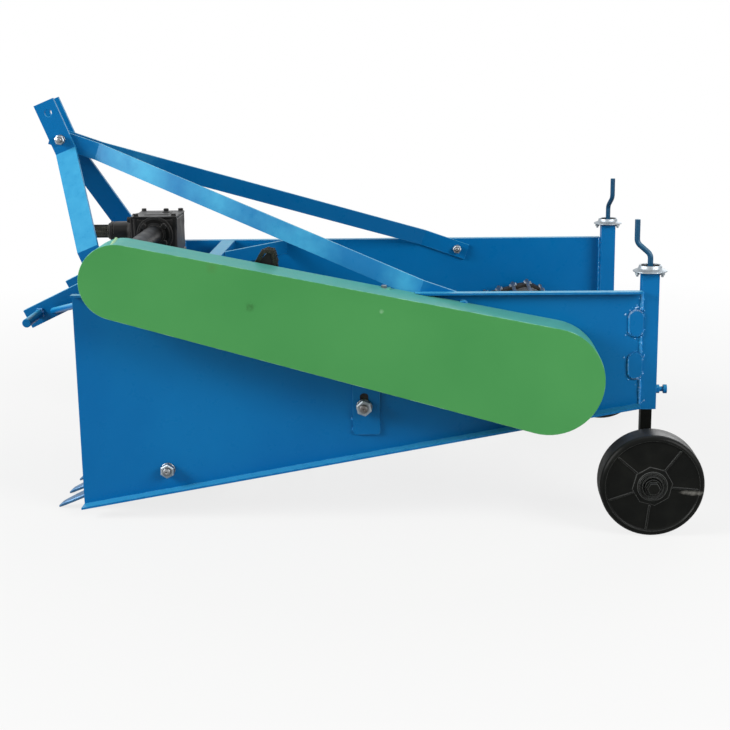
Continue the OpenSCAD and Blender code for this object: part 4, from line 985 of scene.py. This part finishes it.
# chain tensioner: slanted block with two strands of roller chain pulled over it
tensioner = {"low": (441, -430, 524), "high": (487, -400, 661), "slant": (20, 32), "edge": 3}
block = bevelledBlock(tensioner["low"], tensioner["high"], **hairEdge)
editAll(block)
bpy.ops.mesh.dissolve_limited(angle_limit=hairAngle)
bpy.ops.mesh.select_all(action="SELECT")
slantX, slantZ = tensioner["slant"]
bpy.ops.mesh.bisect(plane_co=(tensioner["low"][0] * mm, 0, (tensioner["high"][2] - slantZ) * mm),
                    plane_no=(-slantZ, 0, slantX), clear_outer=True, use_fill=True)
leaveEdit()
closeMesh(block)
softenEdges(block, tensioner["edge"], segments=2, angle=30)
finishPiece(block, "tensioner_cast", "blackCasting", "frame", ["tensioner_block"])
chain = {"pitch": 12.7, "strands": (-409, -428), "half": 7.5, "plateY": 5.5, "pinX": 3.2, "roller": 4.2,
         "route": [(440, 545), (440, 628), (460, 661), (474, 664), (484, 661), (488, 640), (488, 545)]}
linkPieces = [bevelledBlock((-chain["half"], y - 1, -5), (chain["half"], y + 1, 5), edge=0.9)
              for y in (-chain["plateY"], chain["plateY"])]
for x in (-chain["pinX"], chain["pinX"]):
    end = [(0, 8), (1.8, 8), (2, 7.4), (2, 4.4), (chain["roller"], 4.2)]
    pin = turnedPiece([(r, -h) for r, h in end] + end[::-1], steps=12)
    pin.matrix_world = Matrix.Translation((x * mm, 0, 0)) @ Matrix.Rotation(math.pi / 2, 4, "X")
    linkPieces.append(pin)
link = joinPieces(linkPieces)
applyPlace(link)
route = [Vector(point) for point in chain["route"]]
stops = [0]
for a, b in zip(route, route[1:]):
    stops.append(stops[-1] + (b - a).length)
links = []
for y in chain["strands"]:
    travel = random.uniform(0, 6)
    while travel < stops[-1]:
        leg = max(i for i, stop in enumerate(stops[:-1]) if stop <= travel)
        reach = route[leg + 1] - route[leg]
        spot = route[leg] + reach * ((travel - stops[leg]) / (stops[leg + 1] - stops[leg]))
        aside = y + random.uniform(-1.5, 1.5)
        lean = random.uniform(-0.15, 0.15) - math.atan2(reach.y, reach.x)
        links.append(copyPiece(link, Matrix.Translation((spot.x * mm, aside * mm, spot.y * mm))
                               @ Matrix.Rotation(lean, 4, "Y")))
        travel += chain["pitch"]
finishPiece(joinPieces(links), "tensioner_chain", "oiledSteel")
patterns += [link]
print("chain links laid:", len(links))

# weld beads: one rippled strip is drawn, copied end to end along each seam and made uneven
bead = {"length": 26, "radius": 3.4, "ripples": 7, "swell": 1.22, "fill": 0.9, "lap": 1.06, "uneven": 0.55,
        "grain": 9}
beadStrip = addPrimitive(bpy.ops.mesh.primitive_circle_add, vertices=8, radius=bead["radius"] * mm,
                         fill_type="NGON", rotation=(0, math.pi / 2, 0))
applyPlace(beadStrip)
editAll(beadStrip)
ripple = bead["length"] / bead["ripples"] / 2
for i in range(bead["ripples"] * 2):
    extrudeBy(ripple, 0, 0)
    scale = bead["swell"] if i % 2 == 0 else 1 / bead["swell"]
    scaleAbout(((i + 1) * ripple, 0, 0), (1, scale, scale))
leaveEdit()
closeMesh(beadStrip)
unevenClouds = bpy.data.textures.new("uneven", "CLOUDS")
unevenClouds.noise_scale = bead["grain"] * mm


def weldSeams(name, seams, width, look="weldEnamel"):
    copies = []
    for start, end in seams:
        start, end = Vector(start), Vector(end)
        length = (end - start).length
        count = max(1, round(length / (bead["length"] * bead["fill"])))
        facing = Vector((1, 0, 0)).rotation_difference(end - start).to_matrix().to_4x4()
        for i in range(count):
            at = start + (end - start) * (i / count)
            size = width / 2 / bead["radius"] * random.uniform(0.88, 1.12)
            stretch = length / count / bead["length"] * bead["lap"]
            copies.append(copyPiece(beadStrip, Matrix.Translation(at * mm) @ facing
                                    @ Matrix.Rotation(random.uniform(0, 6), 4, "X")
                                    @ Matrix.Diagonal((stretch, size, size, 1))))
    piece = joinPieces(copies)
    applyPlace(piece)
    applyModifier(piece, "DISPLACE", {"texture": unevenClouds, "strength": width * bead["uneven"] * mm,
                                      "mid_level": 0.5, "texture_coords": "GLOBAL"})
    finishPiece(piece, name, look, smooth=60)


# upright seams are (x, distance from the middle, start height, end height)
rear, rearBottom = machine["plateRear"], machine["plateRearBottom"]
postWelds = [(rear, outer - 0.5, 455, 415), (rear, outer - 0.5, 562, 519),
             (rear, outer - 0.5, 352, rearBottom + 4), (rear - 1, inner - 1, 560, rearBottom + 8)]
beamWelds = [(46, inner - 1, 512.4, 592), (126, inner - 1, 512.4, 560), (46, 208, 545, 590),
             (46, 228, 545, 590), (235, inner - 1, 526, 562), (126, 172, 526, 562), (235, 180, 526, 562),
             (275, 219, 526, 562)]
# short seams round the lower pins, as (x, z) of start and end
pinWelds = {"y": 229, "seams": [((-146, 488), (-132, 487)), ((-130, 484), (-129, 470))]}
jointPlate = {"x": 1338, "z": (486, 384), "width": 33, "height": 62, "seat": 1.5, "steps": 24}
adjusterWelds = {"x": 29, "drops": (28, 53), "length": 6}
# drops of weld spatter: how many to a rim point or a seam, and how far they fly
spatter = {"rim": 2, "rimSpread": 5, "seam": 12, "seamSpread": 6}
postSeams, jointSeams, frameSeams, drops = [], [], [], []
for s in (-1, 1):
    postSeams += [((x, s * y, start), (x, s * y, end)) for x, y, start, end in postWelds]
    for z in jointPlate["z"]:
        radius = jointPlate["width"] / 2
        rim = []
        for i in range(jointPlate["steps"] + 1):
            a = 2 * math.pi * i / jointPlate["steps"]
            lift = math.copysign((jointPlate["height"] - jointPlate["width"]) / 2, math.sin(a))
            rim.append((jointPlate["x"] + radius * math.cos(a), s * (outer + jointPlate["seat"]),
                        z + lift + radius * math.sin(a)))
        jointSeams += list(zip(rim, rim[1:]))
        spread = spatter["rimSpread"]
        drops += [(x + random.gauss(0, spread), s * outer, z + random.gauss(0, spread))
                  for x, y, z in rim for i in range(spatter["rim"])]
    frameSeams += [((x, s * y, start), (x, s * y, end)) for x, y, start, end in beamWelds]
    frameSeams += [((x0, s * pinWelds["y"], z0), (x1, s * pinWelds["y"], z1))
                   for (x0, z0), (x1, z1) in pinWelds["seams"]]
for (x, y, z), end in postSeams:
    drops += [(x + random.gauss(0, spatter["seamSpread"]), y, z + (end[2] - z) * random.random())
              for i in range(spatter["seam"])]
drop = turnedPiece([(0, -0.5), (1.7, -0.5), (1.7, 0.4), (1.1, 1.1), (0, 1.4)], steps=8)
splashes = [copyPiece(drop, aimed(place, (0, math.copysign(1, place[1]), 0), random.uniform(0.5, 1.3)))
            for place in drops if abs(place[1]) > inner]
finishPiece(joinPieces(splashes), "weld_spatter", "weldEnamel", smooth=70)
weldSeams("post_welds", postSeams, width=7.5)
weldSeams("joint_plate_welds", jointSeams, width=5)
weldSeams("frame_welds", frameSeams, width=7)
seamX = supportX - adjusterWelds["x"]
weldSeams("adjuster_welds", [((seamX, s * (outer + 1), supportZ - below),
                              (seamX, s * (outer + 1), supportZ - below - adjusterWelds["length"]))
                             for s in (-1, 1) for below in adjusterWelds["drops"]], width=5.5)
patterns += [beadStrip, drop]
print("welds run")

# chain guard: overlap seam of the wrapped sheet at the front, fixing tab with its bolt on the plate
guard = {"front": (132, 610), "radius": 89, "depth": (440, 550), "seamAngle": 96, "seamWidth": 7.5,
         "tab": (731, 574), "tabLength": 30, "tabDepth": 26, "tabWall": 3, "bolt": (15, 14, 7)}
lapX, lapZ = onCircle(guard["front"], guard["radius"], [guard["seamAngle"]])[0]
weldSeams("guard_seam", [((lapX - 6, -guard["depth"][0] - 4, lapZ - 2.2),
                          (lapX + 4, -guard["depth"][1] + 4, lapZ - 2.7))], guard["seamWidth"], "seamEnamel")
tabX, tabZ = guard["tab"]
tab = bevelledBlock((tabX, -outer - guard["tabDepth"], tabZ - 1),
                    (tabX + guard["tabLength"], -outer, tabZ + guard["tabWall"]), edge=1.2)
finishPiece(tab, "guard_tabs", "greenEnamel")
along, out, size = guard["bolt"]
boltSet("guard_bolts", [((tabX + along, -outer - out, tabZ + guard["tabWall"]), (0, 0, 1), size)],
        "zincPlate")
print("guard seamed")

for pattern in patterns:
    bpy.data.objects.remove(pattern)

# camera at the photograph's angle
cameraView = {"place": (0.1991, -3.7964, 1.1727), "turn": (76.766, 0.3796, 2.5866), "lens": 71.24,
              "sensor": 36}
camera = bpy.data.objects.new("camera", bpy.data.cameras.new("camera"))
bpy.context.scene.collection.objects.link(camera)
camera.location = cameraView["place"]
camera.rotation_euler = [math.radians(a) for a in cameraView["turn"]]
camera.data.lens = cameraView["lens"]
camera.data.sensor_width = cameraView["sensor"]
bpy.context.scene.camera = camera

# soft studio light: a wide key lamp high on the left, weak ones from the right and behind, an even sky
lamps = {"key": {"place": (-6.3, -2.3, 3.3), "size": 3.0, "power": 690},
         "side": {"place": (3.8, -3.2, 2.7), "size": 2.6, "power": 245},
         "back": {"place": (3.2, 5.0, 2.2), "size": 3.5, "power": 90}}
lampTarget = Vector((0, 0, 0.45))
for name, lamp in lamps.items():
    bpy.ops.object.light_add(type="AREA", location=lamp["place"])
    light = bpy.context.object
    light.name = name + "Lamp"
    light.data.size = lamp["size"]
    light.data.energy = lamp["power"]
    light.rotation_euler = (lampTarget - Vector(lamp["place"])).to_track_quat("-Z", "Y").to_euler()

# the sky is white to the eye and in reflections, and dim as a light
skyLevel = 0.28
world = bpy.data.worlds.new("studio")
bpy.context.scene.world = world
world.use_nodes = True
tree = world.node_tree
background = tree.nodes["Background"]
rays = addNode(tree, "LightPath").node.outputs
seen = addNode(tree, "Math", {"operation": "MAXIMUM"}, {0: rays["Is Camera Ray"], 1: rays["Is Glossy Ray"]})
seen = addNode(tree, "Math", {"operation": "MAXIMUM"}, {0: seen, 1: rays["Is Transmission Ray"]})
level = addNode(tree, "MapRange", {"To Min": skyLevel, "To Max": 1.0}, {"Value": seen})
background.inputs["Color"].default_value = (1, 1, 1, 1)
tree.links.new(level, background.inputs["Strength"])

# a white paper sweep: it keeps a soft shadow near the machine and runs out to plain white
sweep = {"size": 60, "drop": 0.5, "near": 0.8, "far": 1.0, "fade": (1.0, 3.2), "pale": "#b8b8b6",
         "rough": 0.9}
bpy.ops.mesh.primitive_plane_add(size=sweep["size"], location=(0, 0, -sweep["drop"] * mm))
floor = bpy.context.object
floor.name = "floor"
paper, tree, shader, coords = newMaterial("white paper sweep", {"Base Color": hexLinear(sweep["pale"]),
                                                                "Roughness": sweep["rough"]})
glow = addNode(tree, "Emission", {"Strength": 1.0})
away = addNode(tree, "VectorMath", {"operation": "LENGTH"}, {0: coords}, "Value")
fade = addNode(tree, "MapRange", {"From Min": sweep["fade"][0], "From Max": sweep["fade"][1],
                                  "To Min": sweep["near"], "To Max": sweep["far"]}, {"Value": away})
rays = addNode(tree, "LightPath").node.outputs
seen = addNode(tree, "Math", {"operation": "MULTIPLY"}, {0: rays["Is Camera Ray"], 1: fade})
surface = addNode(tree, "MixShader", None, {0: seen, 1: shader.outputs[0], 2: glow})
tree.links.new(surface, tree.nodes["Material Output"].inputs["Surface"])
floor.data.materials.append(paper)
print("camera, lamps and floor set")

bpy.context.scene.view_settings.view_transform = "Standard"
